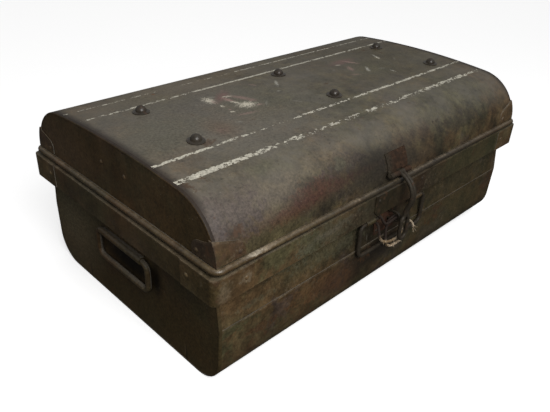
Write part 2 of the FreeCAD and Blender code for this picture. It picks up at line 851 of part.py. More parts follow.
def make_staple():
    """Bent wire standing out of its plate, one leg above the other."""
    bend = staple_reach - staple_half
    edges = [
        line(vec(hasp_x, -plate, staple_half), vec(hasp_x, -bend, staple_half)),
        arc(vec(hasp_x, -bend, staple_half), vec(hasp_x, -staple_reach, 0), vec(hasp_x, -bend, -staple_half)),
        line(vec(hasp_x, -bend, -staple_half), vec(hasp_x, -plate, -staple_half)),
    ]
    return on_front_panel(rod_along(edges, staple_wire), staple_height)


def clip_section(rod, standoff, flange, length):
    """Rolled clip on the plane y = 0: flange, web and tube round the rod, the tube's axis at z = 0."""
    outer = rod + running_fit + sheet
    tube = Part.makeCylinder(outer, length, vec(0, -standoff, 0), AXIS_X)
    strap = box((0, -sheet, 0), (length, 0, outer + flange))
    web = box((0, -standoff, outer - sheet), (length, 0, outer))
    clip = tube.fuse([strap, web])
    bore = Part.makeCylinder(rod + running_fit, length + 2 * overrun, vec(-overrun, -standoff, 0), AXIS_X)
    under = box((-overrun, 0, -overrun), (length + overrun, overrun, overrun))
    return clip.cut(bore).cut(under).removeSplitter()


def turn_to_left_end(shape):
    """Stand a shape made on the plane y = 0 on the chest's left end, its length along Y."""
    shape.rotate(ORIGIN, AXIS_Z, -90)
    shape.translate(vec(-end_wall, 0, end_bail_height))
    return shape


def make_end_clip():
    clip = clip_section(end_bail_rod, end_bail_standoff, end_clip_flange, 2 * end_clip_half)
    clip.translate(vec(-end_clip_half, 0, 0))
    return turn_to_left_end(clip)


def make_end_clip_rivets():
    up = end_bail_standoff + end_clip_flange / 2
    heads = []
    for share in clip_rivet_shares:
        place = vec(share * end_clip_half, -sheet, up)
        heads.append(turn_to_left_end(dome_head(clip_rivet_radius, clip_rivet_height, place, -AXIS_Y)))
    return heads


def make_end_bail():
    """Closed ring hanging from the left clip."""
    ring = ring_tube(end_bail_half, end_bail_drop / 2, end_bail_bend, end_bail_rod)
    ring.rotate(ORIGIN, AXIS_X, 90)
    ring.translate(vec(0, -end_bail_standoff, -end_bail_drop / 2))
    return turn_to_left_end(ring)


def make_front_clip():
    """Right clip of the front bail."""
    clip = clip_section(front_bail_rod, front_bail_standoff, front_clip_flange, front_clip_length)
    clip.translate(vec(front_clip_inner, 0, 0))
    return on_front_panel(clip, front_bail_height)


def make_front_clip_rivet():
    up = front_clip_tube + front_clip_flange / 2
    place = vec(front_clip_inner + front_clip_length / 2, -sheet, up)
    radius = front_clip_rivet_share * front_clip_flange
    return on_front_panel(dome_head(radius, radius / 2, place, -AXIS_Y), front_bail_height)


def make_front_bail():
    """Rod with turned-in ends, leaning a little off the bulging front."""
    half, drop, bend, inner = front_bail_half, front_bail_drop, front_bail_bend, front_bail_inner_end
    diagonal = bend * (1 - math.sqrt(0.5))
    sides = {}
    for side in (-1, 1):
        sides[side] = [
            line(vec(side * inner, 0, 0), vec(side * (half - bend), 0, 0)),
            arc(
                vec(side * (half - bend), 0, 0),
                vec(side * (half - diagonal), 0, -diagonal),
                vec(side * half, 0, -bend)),
            line(vec(side * half, 0, -bend), vec(side * half, 0, bend - drop)),
            arc(
                vec(side * half, 0, bend - drop),
                vec(side * (half - diagonal), 0, diagonal - drop),
                vec(side * (half - bend), 0, -drop)),
        ]
    bar = line(vec(bend - half, 0, -drop), vec(half - bend, 0, -drop))
    back = [turned_edge(edge) for edge in reversed(sides[1])]
    bail = rod_along(sides[-1] + [bar] + back, front_bail_rod)
    bail.rotate(ORIGIN, AXIS_X, -math.degrees(math.atan2(front_bail_lean, drop)))
    bail.translate(axis_on_panel())
    return bail


def axis_on_panel():
    """Axis of the front bail, a standoff out of the leaning panel, square to it."""
    out = front_bail_standoff
    y = -panel_half(front_bail_height) - out * math.cos(panel_lean)
    z = front_bail_height + out * math.sin(panel_lean)
    return vec(0, y, z)


def staple_bend():
    """Middle of the staple's bend."""
    out = staple_reach - staple_half
    y = -panel_half(staple_height) - out * math.cos(panel_lean)
    return vec(hasp_x, y, staple_height + out * math.sin(panel_lean))


def twine_points():
    """Route of the twine: loose end, through the staple, round the bail's end, and back."""
    bend = staple_bend()
    axis = axis_on_panel()
    side = front_bail_rod + twine_radius + twine_gap
    first = -front_bail_inner_end - twine_wrap_start
    wrap = []
    for turn, (out, up) in enumerate(((-1, 1), (1, 1), (1, -1), (-1, -1))):
        wrap.append(vec(first - turn * twine_wrap_pitch, axis.y + out * side, axis.z + up * side))
    short = [bend + vec(*place) for place in twine_short_run]
    return short + wrap + [bend + vec(*place) for place in twine_long_run]


def twine_edges():
    """Straight runs and arcs of the twine's route, each arc as large as its runs allow."""
    points = twine_points()
    print("twine route", [tuple(round(value, 2) for value in point) for point in points])
    edges = []
    radii = []
    last = points[0]
    for before, corner, after in zip(points, points[1:], points[2:]):
        back = (before - corner).normalize()
        ahead = (after - corner).normalize()
        turn = math.pi - back.getAngle(ahead)
        reach = arc_share * min(before.distanceToPoint(corner), corner.distanceToPoint(after))
        radius = reach / math.tan(turn / 2)
        start = corner + back * reach
        end = corner + ahead * reach
        inward = (back + ahead).normalize()
        middle = corner + inward * (radius / math.cos(turn / 2) - radius)
        edges += [line(last, start), arc(start, middle, end)]
        radii.append(round(radius, 1))
        last = end
    edges.append(line(last, points[-1]))
    print("twine radii", radii)
    return edges


def make_twine():
    edges = twine_edges()
    length = sum(edge.Length for edge in edges)
    tube = rod_along(edges, twine_radius)
    straight = math.pi * twine_radius ** 2 * length
    print("twine length", round(length, 1), "volume share", round(tube.Volume / straight, 4))
    print("twine least gap to itself", round(least_self_gap(edges), 2))
    return tube


def least_self_gap(edges):
    """Least clear gap between stretches of the twine that aren't next to each other along it."""
    points = []
    travelled = 0
    for edge in edges:
        for step in range(1, 7):
            at = edge.FirstParameter + (edge.LastParameter - edge.FirstParameter) * step / 6
            points.append((travelled + edge.Length * step / 6, edge.valueAt(at)))
        travelled += edge.Length
    apart = 8 * twine_radius
    gaps = []
    for index, (start, here) in enumerate(points):
        gaps += [here.distanceToPoint(there) for end, there in points[index:] if end - start > apart]
    return min(gaps) - 2 * twine_radius


def main():
    os.makedirs("parts", exist_ok=True)
    nodes = {}

    front_panel = make_front_panel()
    right_end = make_chest_end()
    nodes["bottom_tray"] = make_tray()
    nodes["front_panel"] = front_panel
    nodes["back_panel"] = mirror_y(front_panel)
    nodes["right_end_panel"] = right_end
    nodes["left_end_panel"] = mirror_x(right_end)

    collar_front, collar_left = make_collar()
    nodes["collar_front"] = collar_front
    nodes["collar_back"] = mirror_y(collar_front)
    nodes["collar_left"] = collar_left
    nodes["collar_right"] = mirror_x(collar_left)
    corner_names = ("front_left", "front_right", "back_left", "back_right")
    for name, cap in zip(corner_names, on_all_corners([make_collar_cap()])):
        nodes["collar_cap_" + name] = cap
    nodes["collar_cap_rivets"] = Part.makeCompound(on_all_corners(make_cap_rivets()))

    bead = ring_tube(bead_end, bead_half, bead_corner, bead_radius)
    bead.translate(vec(0, 0, bead_height))
    skin = lid_block(0, lid_sheet_end, bead_height).cut(lid_block(-sheet, lid_end, bead_height - overrun))
    studs = stud_places()
    for foot, outward in studs:
        skin = skin.cut(stud_hole(foot, outward))
    nodes["lid_top_sheet"] = skin.cut(bead)
    right_lid_end = make_lid_end().cut(bead)
    nodes["lid_right_end"] = right_lid_end
    nodes["lid_left_end"] = mirror_x(right_lid_end)
    nodes["lid_edge_bead"] = bead
    for name, corner in zip(corner_names, on_all_corners([make_corner_plate()])):
        nodes["lid_corner_" + name] = corner
    nodes["lid_corner_rivets"] = Part.makeCompound(on_all_corners(make_corner_rivets()))
    end_rivets = []
    for side in (-1, 1):
        y = side * lid_end_rivet_depth_share * lid_depth / 2
        place = vec(end_recess - lid_end, y, bead_height + lid_end_rivet_share * lid_rise)
        end_rivets.append(dome_head(rivet_radius, rivet_height, place, -AXIS_X))
    nodes["lid_end_rivets"] = Part.makeCompound(end_rivets + [mirror_x(head) for head in end_rivets])
    nodes["lid_studs"] = Part.makeCompound([make_stud(*place) for place in studs])
    nodes["stud_washers"] = Part.makeCompound([make_washer(*place) for place in studs])

    chest_heads = []
    lid_heads = []
    pins = []
    for name, side in (("left", -1), ("right", 1)):
        shift = vec(side * hinge_length_share * lid_length / 2, 0, 0)
        chest_leaf = make_chest_leaf()
        lid_leaf = make_lid_leaf()
        pin = bar_x(hinge_pin_radius, -hinge_width / 2, hinge_width / 2, hinge_axis_y, hinge_axis_height)
        chest_pair, lid_pair = hinge_rivets()
        for shape in [chest_leaf, lid_leaf, pin] + chest_pair + lid_pair:
            shape.translate(shift)
        nodes[name + "_hinge_chest_leaf"] = chest_leaf
        nodes[name + "_hinge_lid_leaf"] = lid_leaf
        pins.append(pin)
        chest_heads += chest_pair
        lid_heads += lid_pair
    nodes["hinge_pins"] = Part.makeCompound(pins)
    nodes["hinge_chest_rivets"] = Part.makeCompound(chest_heads)
    nodes["hinge_lid_rivets"] = Part.makeCompound(lid_heads)

    nodes["hasp_plate"] = make_hasp_plate()
    nodes["hasp_plate_rivets"] = Part.makeCompound(make_hasp_rivets())
    nodes["hasp_pin"] = make_hasp_pin()
    nodes["hasp_arm"] = make_hasp_arm()
    nodes["lock_plate"] = make_lock_plate()
    nodes["lock_plate_rivets"] = Part.makeCompound(make_lock_rivets())
    nodes["staple_plate"] = make_staple_plate()
    nodes["staple_plate_rivets"] = Part.makeCompound(make_staple_rivets())
    nodes["staple"] = make_staple()

    left_clip = make_end_clip()
    left_bail = make_end_bail()
    left_heads = make_end_clip_rivets()
    nodes["left_handle_clip"] = left_clip
    nodes["right_handle_clip"] = mirror_x(left_clip)
    nodes["end_clip_rivets"] = Part.makeCompound(left_heads + [mirror_x(head) for head in left_heads])
    nodes["left_bail"] = left_bail
    nodes["right_bail"] = mirror_x(left_bail)
    front_clip = make_front_clip()
    front_head = make_front_clip_rivet()
    nodes["front_clip_right"] = front_clip
    nodes["front_clip_left"] = mirror_x(front_clip)
    nodes["front_clip_rivets"] = Part.makeCompound([front_head, mirror_x(front_head)])
    nodes["front_bail"] = make_front_bail()
    nodes["twine"] = make_twine()

    for name, shape in nodes.items():
        shape.exportStep("parts/" + name + ".step")
        print(name, "valid" if shape.isValid() else "INVALID", len(shape.Solids), round(shape.Volume, 1))


main()
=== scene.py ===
"""Looks of an old painted sheet-steel trunk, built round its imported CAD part."""
import logging
import math
import random
from dataclasses import dataclass
from enum import Enum
from typing import ClassVar, Iterable, Sequence

import bpy
from mathutils import Euler, Matrix, Vector
from mathutils.kdtree import KDTree


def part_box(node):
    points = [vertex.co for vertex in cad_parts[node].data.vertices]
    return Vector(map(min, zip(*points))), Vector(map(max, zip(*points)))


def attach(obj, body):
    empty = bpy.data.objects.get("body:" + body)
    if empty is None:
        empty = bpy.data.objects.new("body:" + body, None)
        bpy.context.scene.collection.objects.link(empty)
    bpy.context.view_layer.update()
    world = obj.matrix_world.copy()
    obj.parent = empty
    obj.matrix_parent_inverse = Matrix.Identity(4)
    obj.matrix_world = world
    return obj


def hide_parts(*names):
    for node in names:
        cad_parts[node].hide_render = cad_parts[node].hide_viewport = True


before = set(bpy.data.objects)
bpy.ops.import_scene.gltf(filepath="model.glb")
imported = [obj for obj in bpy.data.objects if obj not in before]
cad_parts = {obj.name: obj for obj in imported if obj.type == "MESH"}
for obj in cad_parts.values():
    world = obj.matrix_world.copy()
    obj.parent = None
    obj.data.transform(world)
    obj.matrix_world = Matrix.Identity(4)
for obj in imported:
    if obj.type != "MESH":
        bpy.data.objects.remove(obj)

LOG = logging.getLogger("trunk")
Point = tuple[float, float, float]
Band = tuple[float, float]
Stops = tuple[tuple[float, float], ...]
NONE: Point = (0.0, 0.0, 0.0)
EVEN: Point = (1.0, 1.0, 1.0)
WHITE = (1.0, 1.0, 1.0, 1.0)
ALONG = "along"
SIDES = ("left", "right")
CORNERS = ("front_left", "front_right", "back_left", "back_right")
LID_END = 0.376
PLATE_CORNER: Point = (LID_END, 0.225, 0.25)
PLATE_SLOPE = 0.293


class Tone(Enum):
    """Colours of old paint, rust and dirt, and of painted shade and highlights, as linear red, green and
    blue.
    """

    OLIVE = (0.07, 0.056, 0.027)
    BROWN = (0.086, 0.051, 0.023)
    GREEN = (0.066, 0.063, 0.03)
    SAGE = (0.097, 0.094, 0.058)
    PLUM = (0.066, 0.049, 0.043)
    MAUVE = (0.11, 0.09, 0.084)
    SOOT = (0.014, 0.011, 0.008)
    DUST = (0.146, 0.132, 0.107)
    TAN = (0.2, 0.155, 0.1)
    CREAM = (0.6, 0.55, 0.44)
    LINE = (0.53, 0.5, 0.41)
    PINK = (0.33, 0.215, 0.185)
    BLUSH = (0.19, 0.105, 0.092)
    CHALK = (0.4, 0.385, 0.33)
    RUST = (0.08, 0.041, 0.019)
    EMBER = (0.15, 0.075, 0.032)
    BLOOD = (0.066, 0.031, 0.02)
    SCALE = (0.042, 0.027, 0.018)
    DARK = (0.036, 0.029, 0.02)
    FOLD_SHADE = (0.03, 0.022, 0.017)
    UMBER = (0.054, 0.036, 0.013)
    BRICK = (0.066, 0.036, 0.021)
    # Near black, for painted shadow in the end handles and under the bead, and for dark slits and spots.
    PIT = (0.004, 0.003, 0.002)
    STEEL = (0.042, 0.032, 0.024)
    TIN = (0.13, 0.112, 0.088)
    STRAW = (0.5, 0.405, 0.29)
    HUSK = (0.2, 0.135, 0.07)
    STAIN = (0.026, 0.016, 0.011)


@dataclass(frozen=True)
class Grain:
    """A fractal noise in features per metre, and the levels between which its mask rises or falls."""

    scale: float
    detail: float
    rough: float
    shift: Point = NONE
    stretch: Point = EVEN
    low: float = 0.0
    high: float = 1.0


class Noise(Enum):
    """Noises of the finishes, each shifted so that no two run together."""

    GRAIN = Grain(260.0, 5.0, 0.7)
    FLAKES = Grain(80.0, 8.0, 0.76, (0.3, 0.1, 0.7))
    DENTS = Grain(7.0, 2.0, 0.4, (2.0, 5.0, 1.0))
    RIPPLES = Grain(26.0, 3.0, 0.5, (8.0, 1.0, 4.0))
    WARMTH = Grain(5.0, 8.0, 0.68, low=0.4, high=0.62)
    LEAF = Grain(8.0, 8.0, 0.72, (7.0, 3.0, 1.0), low=0.49, high=0.6)
    PLUM = Grain(10.0, 8.0, 0.74, (1.0, 8.0, 4.0), low=0.52, high=0.62)
    CLOUDS = Grain(13.0, 8.0, 0.7, (4.0, 2.0, 9.0))
    MOTTLE = Grain(46.0, 7.0, 0.72, (2.0, 2.0, 6.0))
    STREAKS = Grain(34.0, 4.0, 0.6, (5.0, 5.0, 0.0), (1.0, 1.0, 0.1))
    WORN = Grain(10.0, 4.0, 0.6, (9.0, 9.0, 3.0), low=0.46, high=0.58)
    PITS = Grain(150.0, 6.0, 0.72, (5.0, 9.0, 2.0), low=0.43, high=0.37)
    THIN = Grain(13.0, 5.0, 0.62, (3.0, 7.0, 6.0), low=0.48, high=0.6)
    PALE = Grain(170.0, 6.0, 0.7, (8.0, 4.0, 4.0), low=0.55, high=0.62)
    FILM = Grain(11.0, 6.0, 0.66, (6.0, 2.0, 2.0), low=0.28, high=0.72)
    RUST = Grain(10.0, 7.0, 0.68, (9.0, 1.0, 3.0), low=0.57, high=0.63)
    RUST_GROUPS = Grain(24.0, 3.0, 0.55, (6.0, 6.0, 2.0), low=0.52, high=0.62)
    BREAKS = Grain(17.0, 4.0, 0.6, (4.0, 4.0, 9.0), low=0.4, high=0.58)
    SCRATCHED = Grain(9.0, 3.0, 0.5, (3.0, 9.0, 5.0), low=0.54, high=0.62)
    SPECKLED = Grain(20.0, 3.0, 0.55, (2.0, 4.0, 8.0), low=0.56, high=0.62)
    CHIPS = Grain(340.0, 4.0, 0.7, (0.9, 0.4, 0.2))
    LINE_FINE = Grain(200.0, 4.0, 0.7, (3.0, 3.0, 3.0), (0.8, 1.0, 1.0))
    LINE_COARSE = Grain(75.0, 4.0, 0.7, (1.0, 4.0, 2.0), (0.6, 1.0, 1.0))
    STAIN = Grain(8.0, 6.0, 0.65, (5.0, 1.0, 7.0))
    LINING_RUST = Grain(22.0, 7.0, 0.72, (2.0, 6.0, 3.0))
    CRUST = Grain(60.0, 7.0, 0.7)
    IRON_GRAIN = Grain(260.0, 4.0, 0.65, (2.0, 7.0, 1.0))
    IRON_RED = Grain(28.0, 5.0, 0.6, (4.0, 1.0, 8.0), low=0.6, high=0.72)
    RUBBED = Grain(32.0, 6.0, 0.6)
    STEEL_GRAIN = Grain(240.0, 4.0, 0.6, (5.0, 3.0, 2.0))
    STEEL_RUST = Grain(70.0, 6.0, 0.7, (1.0, 6.0, 3.0), low=0.56, high=0.66)
    HAIR = Grain(900.0, 4.0, 0.6)
    GREASE = Grain(70.0, 4.0, 0.6, (3.0, 3.0, 1.0), low=0.4, high=0.6)


@dataclass(frozen=True)
class Scatter:
    """Dots per metre, the edge and core of one in cells, and how they are drawn out to scratches."""

    scale: float
    edge: float
    core: float
    shift: Point = NONE
    stretch: Point = EVEN
    turn: Point = NONE


class Dots(Enum):
    """Scattered dots and scratches of the paint."""

    RUST_PITS = Scatter(140.0, 0.16, 0.05)
    LONG = Scatter(60.0, 0.045, 0.02, (0.3, 0.8, 0.1), (0.09, 1.0, 1.0), (0.1, 0.2, 0.35))
    CROSSWISE = Scatter(55.0, 0.045, 0.02, (0.7, 0.1, 0.5), (1.0, 0.08, 0.1), (0.5, 0.1, 0.2))
    SPECKS = Scatter(130.0, 0.12, 0.05, (0.4, 0.2, 0.9))


class Val:
    """One shader value: a node's output that takes part in sums."""

    DARKEST = 0.16
    HALF = 0.5

    def __init__(self, tree: "Tree", socket: bpy.types.NodeSocket) -> None:
        """Keep the tree and the output socket."""
        self.tree = tree
        self.socket = socket

    def maths(self, operation: str, *operands: "Val | float", clamp: bool = False) -> "Val":
        """Math node over the operands in their order, kept between 0 and 1 where clamped."""
        return self.tree.node(
            "ShaderNodeMath", 0, dict(enumerate(operands)), operation=operation, use_clamp=clamp)

    def __add__(self, other: "Val | float") -> "Val":
        """Sum."""
        return self.maths("ADD", self, other)

    __radd__ = __add__

    def __sub__(self, other: "Val | float") -> "Val":
        """Difference."""
        return self.maths("SUBTRACT", self, other)

    def __rsub__(self, other: float) -> "Val":
        """Difference from a plain number."""
        return self.maths("SUBTRACT", other, self)

    def __mul__(self, other: "Val | float") -> "Val":
        """Product."""
        return self.maths("MULTIPLY", self, other)

    __rmul__ = __mul__

    def __truediv__(self, other: "Val | float") -> "Val":
        """Quotient."""
        return self.maths("DIVIDE", self, other)

    def __abs__(self) -> "Val":
        """Size without sign."""
        return self.maths("ABSOLUTE", self)

    def root(self) -> "Val":
        """Square root."""
        return self.maths("SQRT", self)

    def most(self, other: "Val | float") -> "Val":
        """Larger of two values."""
        return self.maths("MAXIMUM", self, other)

    def clip(self) -> "Val":
        """The value kept between 0 and 1."""
        return self.maths("ADD", self, 0.0, clamp=True)

    def spread(self, gain: float) -> "Val":
        """Noise drawn apart round its middle."""
        return (self - self.HALF) * gain + self.HALF

    def vary(self, amount: float) -> "Val":
        """Noise as a factor round 1 that swings by the amount and never gets too dark."""
        return ((self - self.HALF) * amount + 1.0).most(self.DARKEST)

    def step(self, low: float, high: float) -> "Val":
        """Smooth rise from 0 to 1.

        Args:
            low: Value that gives 0.
            high: Value that gives 1; may lie below low for a fall.

        Returns:
            The mask.
        """
        falls = high < low
        return self.tree.node("ShaderNodeMapRange", "Result", {
            "Value": self, "From Min": min(low, high), "From Max": max(low, high),
            "To Min": float(falls), "To Max": float(not falls)}, interpolation_type="SMOOTHSTEP")


class Tree:
    """One node tree, whose nodes all come from one method."""

    def __init__(self, own: bpy.types.NodeTree) -> None:
        """Keep Blender's own tree."""
        self.own = own

    def node(self, kind: str, output: str | int, inputs: dict, stops: Stops = (), **settings: object) -> Val:
        """Make a node.

        Args:
            kind: Node type.
            output: Output to return.
            inputs: Values, colours or links of its sockets, by name or place.
            stops: Places and grey levels of a ramp.
            settings: Properties of the node, which are set first.

        Returns:
            The chosen output.
        """
        made = self.own.nodes.new(kind)
        for key, value in settings.items():
            setattr(made, key, value)
        if stops:
            marks = made.color_ramp.elements
            while len(marks) < len(stops):
                marks.new(0.5)
            for mark, (place, level) in zip(marks, stops):
                mark.position = place
                mark.color = (level, level, level, 1.0)
        for key, value in inputs.items():
            self.feed(made.inputs[key], value)
        return Val(self, made.outputs[output])

    def feed(self, socket: bpy.types.NodeSocket, value: object) -> None:
        """Link a value to a socket, or set the socket to a colour or a plain value.

        Args:
            socket: Input socket of a node.
            value: A Val, a Tone, or what the socket itself holds.
        """
        if isinstance(value, Val):
            self.own.links.new(value.socket, socket)
        elif isinstance(value, Tone):
            socket.default_value = (*value.value, 1.0) if socket.type == "RGBA" else value.value
        else:
            socket.default_value = value

    def split(self, vector: Val) -> tuple[Val, Val, Val]:
        """The three parts of a vector."""
        parts = self.node("ShaderNodeSeparateXYZ", 0, {0: vector}).socket.node.outputs
        return tuple(Val(self, part) for part in parts)


class Paper(Tree):
    """One material's tree, with the part's own coordinates at hand."""

    def __init__(self, name: str) -> None:
        """Start a material.

        Args:
            name: Name of the material.
        """
        self.material = bpy.data.materials.new(name)
        self.material.use_nodes = True
        super().__init__(self.material.node_tree)
        self.place = self.node("ShaderNodeTexCoord", "Object", {})
        self.x, self.y, self.z = self.split(self.place)
        self.nx, self.ny, self.nz = self.split(self.node("ShaderNodeTexCoord", "Normal", {}))

    def warp(self, shift: Point, stretch: Point, turn: Point = NONE) -> Val:
        """Coordinates that are stretched, turned and shifted."""
        return self.node("ShaderNodeMapping", 0, {
            "Vector": self.place, "Location": shift, "Scale": stretch, "Rotation": turn})

    def noise(self, kind: Noise) -> Val:
        """Fractal noise round 0.5."""
        grain = kind.value
        return self.node("ShaderNodeTexNoise", "Fac", {
            "Vector": self.warp(grain.shift, grain.stretch), "Scale": grain.scale,
            "Detail": grain.detail, "Roughness": grain.rough})

    def mask(self, kind: Noise, lift: Val | float = 0.0) -> Val:
        """Where a noise, raised by the lift, passes its two levels."""
        return (self.noise(kind) + lift).step(kind.value.low, kind.value.high)

    def dots(self, kind: Dots) -> Val:
        """Scattered dots or scratches, 1 at their cores."""
        dot = kind.value
        return self.node("ShaderNodeTexVoronoi", "Distance", {
            "Vector": self.warp(dot.shift, dot.stretch, dot.turn),
            "Scale": dot.scale}).step(dot.edge, dot.core)

    def away(self, centre: Point, reach: Point) -> Val:
        """Distance from a point.

        Args:
            centre: The point.
            reach: Half sizes of the ellipsoid on which the distance is 1.

        Returns:
            The distance.
        """
        offset = self.node("ShaderNodeVectorMath", 0, {0: self.place, 1: centre}, operation="SUBTRACT")
        share = self.node("ShaderNodeVectorMath", 0, {0: offset, 1: reach}, operation="DIVIDE")
        return self.node("ShaderNodeVectorMath", "Value", {0: share}, operation="LENGTH")

    def mix(self, share: Val, under: Val | Tone, over: Val | Tone) -> Val:
        """One colour laid over another by a share."""
        return self.node(
            "ShaderNodeMix", 2, {0: share, 6: under, 7: over}, data_type="RGBA", clamp_factor=True)

    def shade(self, tone: Val | Tone, value: Val) -> Val:
        """A colour darkened or lightened by a factor."""
        return self.node("ShaderNodeVectorMath", 0, {0: tone, 1: value}, operation="MULTIPLY")

    def ramp(self, value: Val, stops: Stops) -> Val:
        """Levels given at places from 0 to 1, and blended in between."""
        return self.node("ShaderNodeValToRGB", "Color", {"Fac": value}, stops=stops)

    def patched(self, tone: Val, patches: Iterable["Wash"], ragged: Val, speckle: Val) -> Val:
        """Lay patches of other colours over a ground.

        Args:
            tone: Colour so far.
            patches: Patches in their order.
            ragged: Noise that breaks up their outlines.
            speckle: Factor that shades them.

        Returns:
            The colour.
        """
        for patch in patches:
            tone = self.mix(patch.mask(self, ragged), tone, self.shade(patch.tone, speckle))
        return tone

    def finish(self, tone: Val, rough: Val, height: Val, metal: Val | float = 0.0,
               gloss: float = 0.36) -> bpy.types.Material:
        """Connect the finished values to the surface.

        Args:
            tone: Base colour.
            rough: Roughness.
            height: Height for the bump, in metres.
            metal: Metallic share.
            gloss: Specular level.

        Returns:
            The material.
        """
        normal = self.node("ShaderNodeBump", 0, {"Strength": 1.0, "Distance": 1.0, "Height": height})
        values = {"Base Color": tone, "Roughness": rough, "Metallic": metal,
                  "Specular IOR Level": gloss, "Normal": normal}
        for name, value in values.items():
            self.feed(self.own.nodes["Principled BSDF"].inputs[name], value)
        return self.material


@dataclass(frozen=True)
class Stripe:
    """One painted line along the lid's top: its place, half its width, and how much is left along it."""

    y: float
    half: float
    kept: Stops


@dataclass(frozen=True)
class Smear:
    """One pale smear on the lid's top, with a haze round it."""

    x: float
    y: float
    long: float
    wide: float
    turn: float
    tone: Tone
    strength: float
    haze: float = 0.12

    SLOPE: ClassVar[float] = 0.3
    CHIPPED: ClassVar[Band] = (0.14, 0.32)
    HAZY: ClassVar[Band] = (2.2, 0.4)

    def mask(self, p: Paper, chips: Val) -> Val:
        """Where the smear lies.

        Args:
            p: Material tree.
            chips: Noise that breaks it up.

        Returns:
            The mask.
        """
        cos, sin = math.cos(self.turn), math.sin(self.turn)
        dx, dy = p.x - self.x, p.y - self.y
        lengthwise = (dx * cos + dy * sin) / self.long
        crosswise = (dy * cos - dx * sin) / self.wide
        away = (lengthwise * lengthwise + crosswise * crosswise).root()
        flaky = (chips - away * self.SLOPE).step(*self.CHIPPED)
        return flaky.most(away.step(*self.HAZY) * self.haze) * self.strength


@dataclass(frozen=True)
class Wash:
    """A soft wash of another colour round a point."""

    centre: Point
    reach: Point
    tone: Tone
    strength: float

    FADE: ClassVar[Band] = (1.4, 0.2)

    def mask(self, p: Paper, ragged: Val) -> Val:
        """Where the wash lies, with no use for the ragged noise."""
        return p.away(self.centre, self.reach).step(*self.FADE) * self.strength


@dataclass(frozen=True)
class Flake(Wash):
    """A flaky patch of another colour round a point, with a soft stain under it."""

    SLOPE: ClassVar[float] = 0.75
    RAGGED: ClassVar[Band] = (-0.12, 0.06)
    STAINED: ClassVar[Band] = (1.5, 0.2)
    STAIN: ClassVar[float] = 0.35

    def mask(self, p: Paper, ragged: Val) -> Val:
        """Where the patch lies.

        Args:
            p: Material tree.
            ragged: Noise that breaks up the outline.

        Returns:
            The mask.
        """
        away = p.away(self.centre, self.reach)
        flaky = (ragged - away * self.SLOPE).step(*self.RAGGED)
        return flaky.most(away.step(*self.STAINED) * self.STAIN) * self.strength


def through(y: float, z: float, deep: float, high: float, tone: Tone, strength: float) -> Wash:
    """A wash that shows alike on both ends of the trunk."""
    return Wash((0.0, y, z), (1.0, deep, high), tone, strength)


@dataclass(frozen=True)
class WornHighlitEdge:
    """A rubbed edge that is also a painted highlight where the edge catches the light: a band of heights."""

    low: float
    high: float
    strength: float

    SOFT: ClassVar[float] = 0.3

    def mask(self, p: Paper) -> Val:
        """Where the band lies.

        Args:
            p: Material tree.

        Returns:
            The mask, soft at both sides.
        """
        soft = (self.high - self.low) * self.SOFT
        rise = p.z.step(self.low - soft, self.low + soft)
        return rise * p.z.step(self.high + soft, self.high - soft) * self.strength


